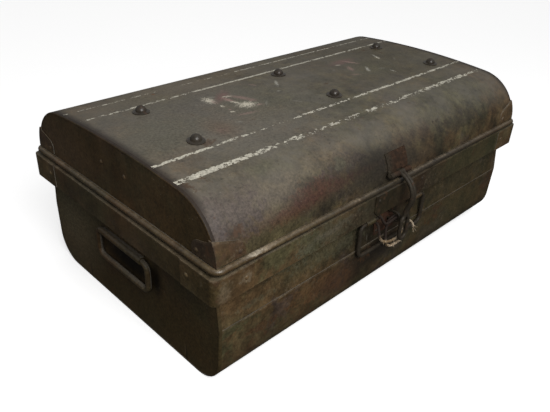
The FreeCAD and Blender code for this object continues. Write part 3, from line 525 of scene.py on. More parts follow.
@dataclass(frozen=True)
class WornPaint:
    """Old oil paint on sheet steel: clouded, faded and rusty in places, rubbed at the edges with painted
    highlights there, and with painted shade where set.
    """

    name: str
    rust: float = 0.0
    brown: float = 0.0
    light: float = 1.0
    dust: float = 0.6
    cloud: float = 2.6
    mottle: float = 3.4
    mixed: float = 1.0
    flecks: float = 0.3
    painted_falloff: float = 0.0
    fold: float = 0.0
    shaded_rim: bool = False
    slant_highlight: bool = False
    gloss: float = 0.36
    matt: float = 0.42
    dents: float = 0.0012
    bumpy: float = 1.0
    stripes: tuple[Stripe, ...] = ()
    smears: tuple[Smear, ...] = ()
    patches: tuple[Wash, ...] = ()
    worn_highlit_edges: tuple[WornHighlitEdge, ...] = ()

    # Middle height of the trunk: a face that looks towards it is an inside.
    MIDDLE: ClassVar[float] = 0.15
    INSIDE: ClassVar[Band] = (0.0, -0.01)
    # How far a noise shades a colour, or is drawn apart.
    RAGGED: ClassVar[float] = 4.0
    PAINT_GRAIN: ClassVar[float] = 1.6
    PATCH_GRAIN: ClassVar[float] = 2.6
    LINE_GRAIN: ClassVar[float] = 2.5
    LINING_GRAIN: ClassVar[float] = 1.5
    LINING_STAIN: ClassVar[float] = 2.0
    STREAKED: ClassVar[float] = 0.9
    CHIPPED: ClassVar[float] = 1.8
    SPECKLED: ClassVar[float] = 7.5
    # Heights of the relief in metres, and the ripples' share of the dents.
    RIPPLE: ClassVar[float] = 0.3
    GRAIN_HIGH: ClassVar[float] = 0.00014
    FLAKE_HIGH: ClassVar[float] = 0.00045
    RUST_DEEP: ClassVar[float] = 0.00016
    MARK_DEEP: ClassVar[float] = 0.00006
    LINE_HIGH: ClassVar[float] = 0.00018
    # What flakes, rust, the rubbed and highlit edges and a bare inside add to the roughness.
    FLAKES_MATT: ClassVar[float] = 0.2
    RUST_MATT: ClassVar[float] = 0.25
    WEAR_AND_HIGHLIGHT_MATT: ClassVar[float] = 0.06
    INSIDE_MATT: ClassVar[float] = 0.2
    # Shares of colours, and the painted shade: where along the trunk and on which faces the paint is darkened
    # as the light falls off.
    LEAF_SHARE: ClassVar[float] = 0.8
    PLUM_SHARE: ClassVar[float] = 0.7
    MARK_SHARE: ClassVar[float] = 0.45
    RUST_TONES: ClassVar[Band] = (0.15, 0.85)
    FALLOFF_ALONG: ClassVar[Band] = (-0.3, 0.06)
    FRONT: ClassVar[Band] = (-0.3, -0.8)

    def make(self) -> bpy.types.Material:
        """Build the material.

        Returns:
            The material.
        """
        p = Paper(self.name)
        grain = p.noise(Noise.GRAIN)
        flakes = p.noise(Noise.FLAKES)
        ragged = flakes.spread(self.RAGGED)
        tone = self.dusted(p, self.ground(p, grain), ragged)
        tone = p.patched(tone, self.patches, ragged, grain.vary(self.PATCH_GRAIN))
        rust = self.rusted(p, ragged)
        tone = p.mix(rust, tone, p.mix(ragged.step(*self.RUST_TONES), Tone.SCALE, Tone.RUST))
        tone = self.shaded_folds(p, self.flecked(p, tone), ragged)
        # Rubbed edges with painted highlights, laid on as pale paint.
        wear_and_highlights = self.wear_and_highlights(p, ragged)
        tone = p.mix(wear_and_highlights, tone, p.shade(Tone.TAN, grain.vary(self.LINE_GRAIN)))
        marks = self.scratches(p)
        tone = p.mix(marks * self.MARK_SHARE, tone, Tone.CHALK)
        height = (p.noise(Noise.DENTS) + p.noise(Noise.RIPPLES) * self.RIPPLE) * self.dents
        height = height + (grain * self.GRAIN_HIGH + flakes * self.FLAKE_HIGH) * self.bumpy
        height = height - rust * self.RUST_DEEP - marks * self.MARK_DEEP
        if self.smears:
            tone = self.smeared(p, tone)
        if self.stripes:
            lines = self.lines(p, ragged)
            tone = p.mix(lines, tone, p.shade(Tone.LINE, grain.vary(self.LINE_GRAIN)))
            height = height + lines * self.LINE_HIGH
        inside = (p.x * p.nx + p.y * p.ny + (p.z - self.MIDDLE) * p.nz).step(*self.INSIDE)
        tone = p.mix(inside, tone, self.lining(p, ragged, grain))
        rough = self.matt + flakes * self.FLAKES_MATT + rust * self.RUST_MATT
        rough = rough + wear_and_highlights * self.WEAR_AND_HIGHLIGHT_MATT + inside * self.INSIDE_MATT
        return p.finish(tone, rough, height, gloss=self.gloss)

    def ground(self, p: Paper, grain: Val) -> Val:
        """Clouded ground of the paint, darkened towards the right on front faces as a painted shade where
        set.

        Args:
            p: Material tree.
            grain: Fine noise.

        Returns:
            The colour.
        """
        tone = p.mix(p.mask(Noise.WARMTH, self.brown * 0.6), Tone.OLIVE, Tone.BROWN)
        leaf = p.mask(Noise.LEAF, self.brown * -0.3)
        tone = p.mix(leaf * (self.LEAF_SHARE * self.mixed), tone, Tone.GREEN)
        tone = p.mix(p.mask(Noise.PLUM) * (self.PLUM_SHARE * self.mixed), tone, Tone.PLUM)
        value = p.noise(Noise.CLOUDS).vary(self.cloud) * p.noise(Noise.MOTTLE).vary(self.mottle)
        value = value * grain.vary(self.PAINT_GRAIN) * p.noise(Noise.STREAKS).vary(self.STREAKED) * self.light
        # Painted shade: front faces darken towards the right, where the lamp's light falls off.
        if self.painted_falloff:
            value = value * (1.0 - p.x.step(*self.FALLOFF_ALONG) * p.ny.step(*self.FRONT) * self.painted_falloff)
        return p.shade(tone, value)

    def dusted(self, p: Paper, tone: Val, ragged: Val) -> Val:
        """Paint faded grey where it faces up.

        Args:
            p: Material tree.
            tone: Colour so far.
            ragged: Ragged noise.

        Returns:
            The colour.
        """
        film = 0.3 + p.mask(Noise.FILM) * 0.5 + (ragged - Val.HALF) * 0.25
        return p.mix(p.nz.step(0.35, 0.95) * film * self.dust, tone, Tone.DUST)

    def rusted(self, p: Paper, ragged: Val) -> Val:
        """Where rust comes through, in fields and in pits.

        Args:
            p: Material tree.
            ragged: Ragged noise.

        Returns:
            The mask.
        """
        field = p.mask(Noise.RUST, (ragged - Val.HALF) * 0.08 + self.rust)
        pits = p.dots(Dots.RUST_PITS) * p.mask(Noise.RUST_GROUPS)
        return (field * 0.75).most(pits * 0.6)

    def flecked(self, p: Paper, tone: Val) -> Val:
        """Small dark pits, and pale flecks where the paint has thinned.

        Args:
            p: Material tree.
            tone: Colour so far.

        Returns:
            The colour.
        """
        pits = p.mask(Noise.PITS) * (0.08 + p.mask(Noise.WORN) * 0.3)
        tone = p.mix(pits, tone, Tone.SOOT)
        return p.mix(p.mask(Noise.PALE) * p.mask(Noise.THIN) * self.flecks, tone, Tone.TAN)

    def shaded_folds(self, p: Paper, tone: Val, ragged: Val) -> Val:
        """Painted shade along the folded ends of a sheet, or on the folded rim round an end.

        Args:
            p: Material tree.
            tone: Colour so far.
            ragged: Ragged noise.

        Returns:
            The colour.
        """
        # Painted shade where the sheet rounds over at its ends.
        if self.fold:
            edge = (abs(p.x) + (ragged - Val.HALF) * 0.002).step(self.fold - 0.018, self.fold)
            tone = p.mix(edge * edge * p.nz.step(0.55, 0.9) * 0.85, tone, Tone.FOLD_SHADE)
        # Painted shade on an end's folded rim, whose faces turn up to the light.
        if self.shaded_rim:
            tone = p.mix(abs(p.nx).step(0.9, 0.5) * 0.9, tone, p.shade(Tone.FOLD_SHADE, ragged * 0.6 + 0.7))
        return tone

    def wear_and_highlights(self, p: Paper, ragged: Val) -> Val:
        """Where edges are rubbed down and carry a painted highlight, along bands and along the slanting edge
        of a corner plate.

        Args:
            p: Material tree.
            ragged: Ragged noise.

        Returns:
            The mask.
        """
        whole = ragged * 0.0
        for edge in self.worn_highlit_edges:
            whole = whole.most(edge.mask(p))
        # Painted highlight along the slanting top edge of a corner plate.
        if self.slant_highlight:
            end, front, top = PLATE_CORNER
            along = (end - abs(p.x)).most(front - abs(p.y))
            under = p.z - top + along * PLATE_SLOPE
            whole = whole.most(under.step(-0.004, -0.0018) * (0.75 - abs(p.nx).step(0.5, 0.9) * 0.45))
        broken = p.mask(Noise.BREAKS) * 0.75 + 0.25
        # Painted falloff: the edge highlights thin out towards the right.
        if self.painted_falloff:
            broken = broken * (1.0 - p.x.step(-0.3, 0.15) * 0.55)
        return whole * ragged.step(0.1, 0.75) * broken

    def scratches(self, p: Paper) -> Val:
        """Thin pale scratches in two directions, and a few specks.

        Args:
            p: Material tree.

        Returns:
            The mask.
        """
        thin = p.dots(Dots.LONG).most(p.dots(Dots.CROSSWISE)) * p.mask(Noise.SCRATCHED)
        return (thin * 0.5).most(p.dots(Dots.SPECKS) * p.mask(Noise.SPECKLED) * 0.6)

    def smeared(self, p: Paper, tone: Val) -> Val:
        """Pale smears over the faces that look up.

        Args:
            p: Material tree.
            tone: Colour so far.

        Returns:
            The colour.
        """
        chips = p.noise(Noise.CHIPS).spread(self.CHIPPED)
        up = p.nz.step(0.5, 0.7)
        for smear in self.smears:
            tone = p.mix(smear.mask(p, chips) * up, tone, smear.tone)
        return tone

    def lines(self, p: Paper, ragged: Val) -> Val:
        """Mask of the painted lines, whole in some places and worn to specks in others.

        Args:
            p: Material tree.
            ragged: Ragged noise.

        Returns:
            The mask.
        """
        specks = p.noise(Noise.LINE_FINE) * 0.6 + p.noise(Noise.LINE_COARSE) * 0.4
        speck = specks.spread(self.SPECKLED).clip()
        along = (p.x + LID_END) / (2.0 * LID_END)
        whole = ragged * 0.0
        for stripe in self.stripes:
            stops = tuple(((x + LID_END) / (2.0 * LID_END), level) for x, level in stripe.kept)
            off = abs(p.y + (ragged - Val.HALF) * (0.55 * stripe.half) - stripe.y) / stripe.half
            left = p.ramp(along, stops) * 0.92 - off * off * 0.22 - speck * 0.95
            whole = whole.most(left.step(-0.1, 0.08) * off.step(1.4, 0.9))
        return whole * p.nz.step(0.4, 0.6)

    def lining(self, p: Paper, ragged: Val, grain: Val) -> Val:
        """Dull bare inside of the sheet, stained and rusty.

        Args:
            p: Material tree.
            ragged: Ragged noise.
            grain: Fine noise.

        Returns:
            The colour.
        """
        stain = p.noise(Noise.STAIN)
        tone = p.shade(Tone.TIN, stain.vary(self.LINING_STAIN) * grain.vary(self.LINING_GRAIN))
        spots = p.noise(Noise.LINING_RUST) * 0.6 + stain * 0.4 + (ragged - Val.HALF) * 0.05
        return p.mix(spots.step(0.52, 0.66) * 0.7, tone, Tone.RUST)


@dataclass(frozen=True)
class RustyIron:
    """Thin iron plate, mostly rust."""

    name: str
    red: float = 0.5
    light: float = 1.0
    gloss: float = 0.12
    shaded_dark_washes: tuple[Wash, ...] = ()

    def make(self) -> bpy.types.Material:
        """Build the material.

        Returns:
            The material.
        """
        p = Paper(self.name)
        crust = p.noise(Noise.CRUST)
        grain = p.noise(Noise.IRON_GRAIN)
        tone = p.mix(crust.step(0.4, 0.62), Tone.SCALE, Tone.BRICK)
        tone = p.mix(p.mask(Noise.IRON_RED, 0.16 * self.red) * 0.8, tone, Tone.BLOOD)
        tone = p.mix((grain * 0.5 + crust * 0.5).step(0.56, 0.64) * (0.45 * self.red), tone, Tone.RUST)
        tone = p.shade(tone, grain.vary(1.6) * crust.vary(1.2) * self.light)
        # Dark washes over the rust, painted shade among them.
        tone = p.patched(tone, self.shaded_dark_washes, crust, grain.vary(2.0))
        return p.finish(tone, 0.55 + crust * 0.3, crust * 0.0003 + grain * 0.00012, gloss=self.gloss)


@dataclass(frozen=True)
class RubbedSteel:
    """Bent rod or turned head, dark with old paint and rubbed bright where hands touch it."""

    name: str
    bright: float = 0.5
    rust: float = 0.0
    metal: float = 0.45
    polish: float = 0.0
    gloss: float = 0.28

    def make(self) -> bpy.types.Material:
        """Build the material.

        Returns:
            The material.
        """
        p = Paper(self.name)
        worn = p.noise(Noise.RUBBED)
        grain = p.noise(Noise.STEEL_GRAIN)
        rub = (worn * 0.8 + grain * 0.2 + (self.bright - Val.HALF) * 0.3).step(0.4, 0.64)
        red = p.mask(Noise.STEEL_RUST, self.rust)
        tone = p.mix(red * 0.7, p.mix(rub, Tone.DARK, Tone.STEEL), Tone.BRICK)
        rough = (0.52 - self.polish) - rub * 0.14 + red * 0.25
        height = worn * 0.00025 + grain * 0.00008
        metal = rub * self.metal * (1.0 - red)
        return p.finish(p.shade(tone, grain.vary(1.5)), rough, height, metal, self.gloss)


@dataclass(frozen=True)
class TwineFibre:
    """Old sisal twine, pale where it hangs free and greasy brown where it is tied to the iron."""

    name: str
    greasy: Stops = (
        (0.0, 0.0), (0.055, 0.1), (0.09, 1.0), (0.435, 1.0), (0.46, 0.0), (0.64, 0.1), (0.68, 1.0),
        (0.87, 1.0), (0.9, 0.0), (1.0, 0.0))

    def make(self) -> bpy.types.Material:
        """Build the material.

        Returns:
            The material.
        """
        p = Paper(self.name)
        hair = p.noise(Noise.HAIR)
        tone = p.shade(p.mix(p.mask(Noise.GREASE), Tone.STRAW, Tone.HUSK), hair.vary(3.0))
        along = p.node("ShaderNodeAttribute", "Fac", {}, attribute_name=ALONG)
        tone = p.mix(p.ramp(along, self.greasy), tone, Tone.STAIN)
        return p.finish(tone, 0.75 + hair * 0.2, hair * 0.0002)


def put(material: bpy.types.Material, *names: str) -> None:
    """Give carried-over nodes their finish.

    Args:
        material: Finish.
        names: Nodes of the CAD part.
    """
    for name in names:
        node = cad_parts[name]
        node.data.materials.clear()
        node.data.materials.append(material)
        LOG.info("finished %s with %s", name, material.name)


@dataclass
class LidShell:
    """Crowned lid: top sheet, ends, rolled bead, corner plates and studs, with what lies on the paint."""

    stripes: tuple[Stripe, ...] = (
        Stripe(-0.1405, 0.0044, (
            (-0.376, 0.45), (-0.356, 0.55), (-0.345, 0.88), (-0.258, 0.97), (-0.254, 0.15), (-0.25, 0.85),
            (-0.23, 0.72), (-0.202, 0.4), (-0.165, 0.35), (-0.16, 0.8), (-0.143, 0.8), (-0.138, 0.45),
            (-0.11, 0.2), (-0.1, 0.25), (-0.085, 0.52), (-0.018, 0.45), (-0.005, 0.3), (0.01, 0.5),
            (0.03, 0.42), (0.04, 0.34), (0.12, 0.36), (0.13, 0.64), (0.32, 0.66), (0.345, 0.4),
            (0.376, 0.2))),
        Stripe(-0.0925, 0.0026, (
            (-0.376, 0.8), (-0.29, 0.9), (-0.275, 0.35), (-0.262, 0.6), (-0.245, 0.65), (-0.215, 0.6),
            (-0.205, 0.24), (-0.105, 0.18), (-0.095, 0.55), (-0.075, 0.42), (-0.06, 0.35), (-0.055, 0.62),
            (0.018, 0.5), (0.03, 0.3), (0.04, 0.82), (0.097, 0.8), (0.105, 0.45), (0.115, 0.82),
            (0.25, 0.76), (0.376, 0.66))),
        Stripe(0.092, 0.0026, (
            (-0.376, 0.2), (-0.35, 0.36), (-0.343, 0.56), (-0.3, 0.6), (-0.233, 0.74), (-0.17, 0.84),
            (-0.065, 0.84), (-0.035, 0.9), (0.32, 0.9), (0.376, 0.8))),
        Stripe(0.137, 0.0017, (
            (-0.376, 0.45), (-0.319, 0.44), (-0.256, 0.36), (-0.218, 0.16), (-0.135, 0.12), (-0.043, 0.45),
            (-0.031, 0.66), (0.19, 0.7), (0.376, 0.66))),
    )
    smears: tuple[Smear, ...] = (
        Smear(-0.171, 0.04, 0.012, 0.007, -1.61, Tone.CREAM, 0.95),
        Smear(-0.157, 0.05, 0.0055, 0.002, -0.51, Tone.CHALK, 0.36),
        Smear(-0.169, 0.031, 0.0068, 0.003, -1.65, Tone.PINK, 0.45),
        Smear(-0.143, 0.042, 0.021, 0.0075, 0.65, Tone.BLUSH, 0.75, 0.5),
        Smear(-0.136, 0.037, 0.0078, 0.0032, -0.33, Tone.CREAM, 0.75),
        Smear(-0.145, 0.024, 0.01, 0.004, -1.42, Tone.PINK, 0.9, 0.3),
        Smear(-0.143, 0.008, 0.0085, 0.0025, -1.11, Tone.CREAM, 0.9),
        Smear(-0.135, -0.01, 0.013, 0.0095, -0.3, Tone.CREAM, 0.95),
        Smear(-0.118, -0.022, 0.006, 0.003, -0.3, Tone.PINK, 0.5),
        Smear(-0.121, 0.017, 0.0201, 0.0055, -1.15, Tone.PINK, 0.55, 0.3),
        Smear(-0.116, -0.001, 0.0057, 0.0025, 0.08, Tone.PINK, 0.5),
        Smear(-0.17, 0.009, 0.0034, 0.0024, -1.64, Tone.CREAM, 0.95),
        Smear(-0.172, -0.019, 0.0041, 0.002, -0.24, Tone.CREAM, 0.9),
        Smear(-0.17, -0.01, 0.0024, 0.0018, -0.71, Tone.PINK, 0.8),
        Smear(-0.158, -0.037, 0.0144, 0.003, -0.2, Tone.PINK, 0.4, 0.3),
        Smear(-0.19, -0.054, 0.0044, 0.0025, -0.24, Tone.CHALK, 0.27),
        Smear(-0.025, 0.034, 0.0116, 0.0025, -2.23, Tone.CHALK, 0.81),
        Smear(-0.05, 0.003, 0.0034, 0.0014, -0.18, Tone.CHALK, 0.59),
        Smear(-0.064, 0.054, 0.006, 0.002, -1.25, Tone.PINK, 0.6),
        Smear(-0.105, -0.024, 0.0091, 0.0018, -2.28, Tone.CHALK, 0.21),
        Smear(-0.059, -0.048, 0.0067, 0.002, -0.97, Tone.CHALK, 0.18),
        Smear(-0.198, 0.036, 0.0084, 0.0014, -0.6, Tone.CHALK, 0.18),
        Smear(-0.125, 0.064, 0.0031, 0.0016, -0.49, Tone.PINK, 0.55),
        Smear(0.142, 0.036, 0.0049, 0.0022, -0.23, Tone.CREAM, 0.85),
        Smear(0.165, 0.045, 0.0237, 0.009, 0.04, Tone.BLUSH, 0.6, 0.5),
        Smear(0.177, 0.034, 0.0132, 0.003, -1.17, Tone.PINK, 0.8, 0.3),
        Smear(0.145, 0.007, 0.0106, 0.004, -2.08, Tone.PINK, 0.55, 0.3),
        Smear(0.126, -0.021, 0.008, 0.0028, -0.5, Tone.PINK, 0.35),
        Smear(0.113, 0.02, 0.0021, 0.0016, -0.37, Tone.CHALK, 0.59),
        Smear(0.17, -0.015, 0.0107, 0.003, -2.24, Tone.CHALK, 0.85),
        Smear(0.251, 0.028, 0.0108, 0.0025, -1.93, Tone.CHALK, 0.68),
        Smear(0.246, 0.019, 0.0061, 0.0026, -1.88, Tone.CREAM, 0.85),
        Smear(0.204, -0.05, 0.0055, 0.0016, -1.56, Tone.CHALK, 0.77),
        Smear(0.198, -0.028, 0.0074, 0.0025, -0.36, Tone.CHALK, 0.21),
        Smear(0.269, -0.006, 0.0066, 0.0016, -2.4, Tone.CHALK, 0.24),
        Smear(-0.218, 0.128, 0.0043, 0.0024, -1.49, Tone.EMBER, 0.9),
    )
    patches: tuple[Wash, ...] = (
        Wash((-0.29, -0.224, 0.23), (0.09, 0.03, 0.02), Tone.OLIVE, 0.7),
        Flake((-0.3, -0.224, 0.23), (0.07, 0.03, 0.014), Tone.OLIVE, 0.8),
        Flake((-0.325, -0.221, 0.24), (0.04, 0.03, 0.01), Tone.BROWN, 0.6),
        Flake((-0.252, -0.222, 0.238), (0.045, 0.03, 0.01), Tone.BROWN, 0.85),
        Flake((-0.225, -0.219, 0.243), (0.045, 0.03, 0.009), Tone.RUST, 0.8),
        Flake((-0.19, -0.217, 0.248), (0.05, 0.03, 0.011), Tone.RUST, 0.95),
        Flake((-0.185, -0.212, 0.257), (0.05, 0.04, 0.01), Tone.BLOOD, 0.75),
        Flake((-0.15, -0.217, 0.246), (0.06, 0.03, 0.01), Tone.BLOOD, 0.75),
        Flake((-0.09, -0.217, 0.249), (0.06, 0.03, 0.007), Tone.BLOOD, 0.75),
        Flake((-0.06, -0.222, 0.234), (0.09, 0.03, 0.01), Tone.DARK, 0.65),
        Flake((-0.27, -0.2, 0.268), (0.06, 0.03, 0.016), Tone.TAN, 0.2),
        Flake((-0.19, -0.195, 0.276), (0.06, 0.03, 0.012), Tone.TAN, 0.18),
        Flake((-0.12, -0.205, 0.266), (0.05, 0.03, 0.012), Tone.PLUM, 0.7),
        Flake((-0.04, -0.21, 0.258), (0.06, 0.03, 0.012), Tone.DARK, 0.6),
        Flake((0.04, -0.205, 0.262), (0.08, 0.03, 0.012), Tone.SCALE, 0.5),
        Flake((0.18, -0.212, 0.254), (0.09, 0.03, 0.014), Tone.DARK, 0.55),
        Flake((-0.33, -0.2, 0.262), (0.05, 0.04, 0.03), Tone.PLUM, 0.7),
        Wash((-0.365, -0.2, 0.262), (0.016, 0.04, 0.04), Tone.MAUVE, 0.55),
        Wash((-0.03, -0.224, 0.232), (0.17, 0.03, 0.026), Tone.DARK, 0.85),
        Wash((-0.1, -0.209, 0.262), (0.06, 0.04, 0.018), Tone.SOOT, 0.48),
        Wash((-0.06, -0.216, 0.249), (0.06, 0.03, 0.02), Tone.SOOT, 0.48),
        Flake((-0.128, -0.203, 0.268), (0.022, 0.02, 0.009), Tone.SAGE, 0.45),
        Wash((-0.225, -0.219, 0.243), (0.07, 0.03, 0.014), Tone.BLOOD, 0.45),
        Flake((-0.205, -0.218, 0.2455), (0.034, 0.03, 0.01), Tone.BLOOD, 0.95),
        # Painted sheen on the near shoulder.
        Wash((-0.35, -0.19, 0.277), (0.06, 0.04, 0.026), Tone.TAN, 0.1),
        Wash((-0.3, -0.205, 0.262), (0.09, 0.04, 0.03), Tone.MAUVE, 0.35),
        # Pale dust on the top, laid thicker to the left as a painted pool of light.
        Wash((-0.22, -0.02, 0.3), (0.19, 0.15, 0.05), Tone.DUST, 0.62),
        Wash((0.26, 0.03, 0.3), (0.18, 0.18, 0.05), Tone.OLIVE, 0.35),
        Wash((-0.15, 0.14, 0.292), (0.2, 0.07, 0.04), Tone.TAN, 0.32),
        Flake((-0.255, -0.17, 0.287), (0.03, 0.014, 0.02), Tone.SAGE, 0.45),
        Wash((-0.3, -0.01, 0.3), (0.07, 0.05, 0.03), Tone.SAGE, 0.3),
        Wash((-0.325, -0.055, 0.298), (0.05, 0.03, 0.03), Tone.SAGE, 0.25),
        Wash((-0.12, -0.02, 0.3), (0.06, 0.07, 0.03), Tone.SAGE, 0.35),
        Wash((0.19, -0.02, 0.3), (0.06, 0.04, 0.03), Tone.SAGE, 0.45),
        Flake((-0.27, -0.08, 0.298), (0.014, 0.01, 0.03), Tone.RUST, 0.6),
        Wash((-0.225, -0.055, 0.299), (0.026, 0.036, 0.03), Tone.EMBER, 0.24),
        Flake((-0.228, -0.062, 0.299), (0.01, 0.012, 0.03), Tone.BLUSH, 0.25),
    )
    ends: tuple[Wash, ...] = (
        through(-0.17, 0.235, 0.09, 0.06, Tone.UMBER, 0.55),
        through(0.06, 0.27, 0.12, 0.03, Tone.UMBER, 0.35),
        through(0.13, 0.235, 0.1, 0.05, Tone.BROWN, 0.6),
        through(0.15, 0.235, 0.09, 0.05, Tone.DUST, 0.1),
    )
    bead: tuple[Wash, ...] = (
        # Painted shade darkening the bead towards the right, then pale flecks; the two near the left end are
        # painted highlights.
        Wash((0.05, -0.23, 0.21), (0.26, 0.02, 0.03), Tone.DARK, 0.9),
        Flake((-0.3, -0.231, 0.215), (0.034, 0.01, 0.004), Tone.TAN, 0.8),
        Flake((-0.318, -0.231, 0.215), (0.02, 0.01, 0.0026), Tone.CREAM, 0.45),
        Flake((-0.12, -0.231, 0.215), (0.012, 0.01, 0.003), Tone.TAN, 0.6),
    )

    def dress(self) -> None:
        """Finish every node of the lid."""
        put(WornPaint(
            "lid_top_paint", stripes=self.stripes, smears=self.smears, patches=self.patches, dents=0.0022,
            light=1.12, dust=1.0, rust=-0.06, cloud=3.2, mottle=4.4, mixed=0.8, flecks=0.16, painted_falloff=0.25,
            fold=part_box("lid_top_sheet")[1][0]).make(), "lid_top_sheet")
        # Lid ends, with a painted shade on their folded rim.
        put(WornPaint(
            "lid_end_paint", brown=0.05, light=0.84, dust=0.1, shaded_rim=True, gloss=0.22, rust=-0.08, flecks=0.08,
            cloud=1.4, mottle=1.3, mixed=0.3, patches=self.ends).make(),
            *(f"lid_{side}_end" for side in SIDES))
        self.dress_bead()
        wings = tuple(
            Wash((side * 0.379, -0.2, 0.232), (0.0036, 0.08, 0.06), Tone.SCALE, 0.9)
            for side in (-1.0, 1.0))
        # Corner plates, with a painted highlight along their slanting top edge.
        put(WornPaint(
            "corner_plate_paint", brown=0.08, light=0.92, rust=-0.06, dents=0.0004, mottle=2.2, mixed=0.5,
            slant_highlight=True, patches=wings).make(), *(f"lid_corner_{corner}" for corner in CORNERS))
        put(RubbedSteel("stud_steel", bright=0.45, metal=0.2, polish=0.2, gloss=0.5).make(), "lid_studs")
        put(WornPaint("rivet_paint", brown=0.05, light=0.9, dents=0.0002, mottle=1.5, mixed=0.3).make(),
            "lid_end_rivets", "lid_corner_rivets")
        put(RubbedSteel("washer_steel", bright=0.6, rust=0.05).make(), "stud_washers")

    def dress_bead(self) -> None:
        """Finish the rolled bead: painted shade on its lower half, and a painted highlight along its top
        drawn as rubbed paint.
        """
        low, high = (corner[2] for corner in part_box("lid_edge_bead"))
        # A painted highlight along the top as a rubbed band, and painted shade on the lower half.
        put(WornPaint(
            "bead_paint", brown=0.04, dust=0.2, rust=-0.1, dents=0.0003, bumpy=0.3, cloud=1.8, mottle=1.3,
            mixed=0.3, flecks=0.14, matt=0.18, gloss=0.5, worn_highlit_edges=(WornHighlitEdge(high - 0.0012, high + 0.002, 0.5),),
            patches=(Wash((0.0, 0.0, low), (9.0, 9.0, 0.0052), Tone.PIT, 1.0), *self.bead)).make(),
            "lid_edge_bead")


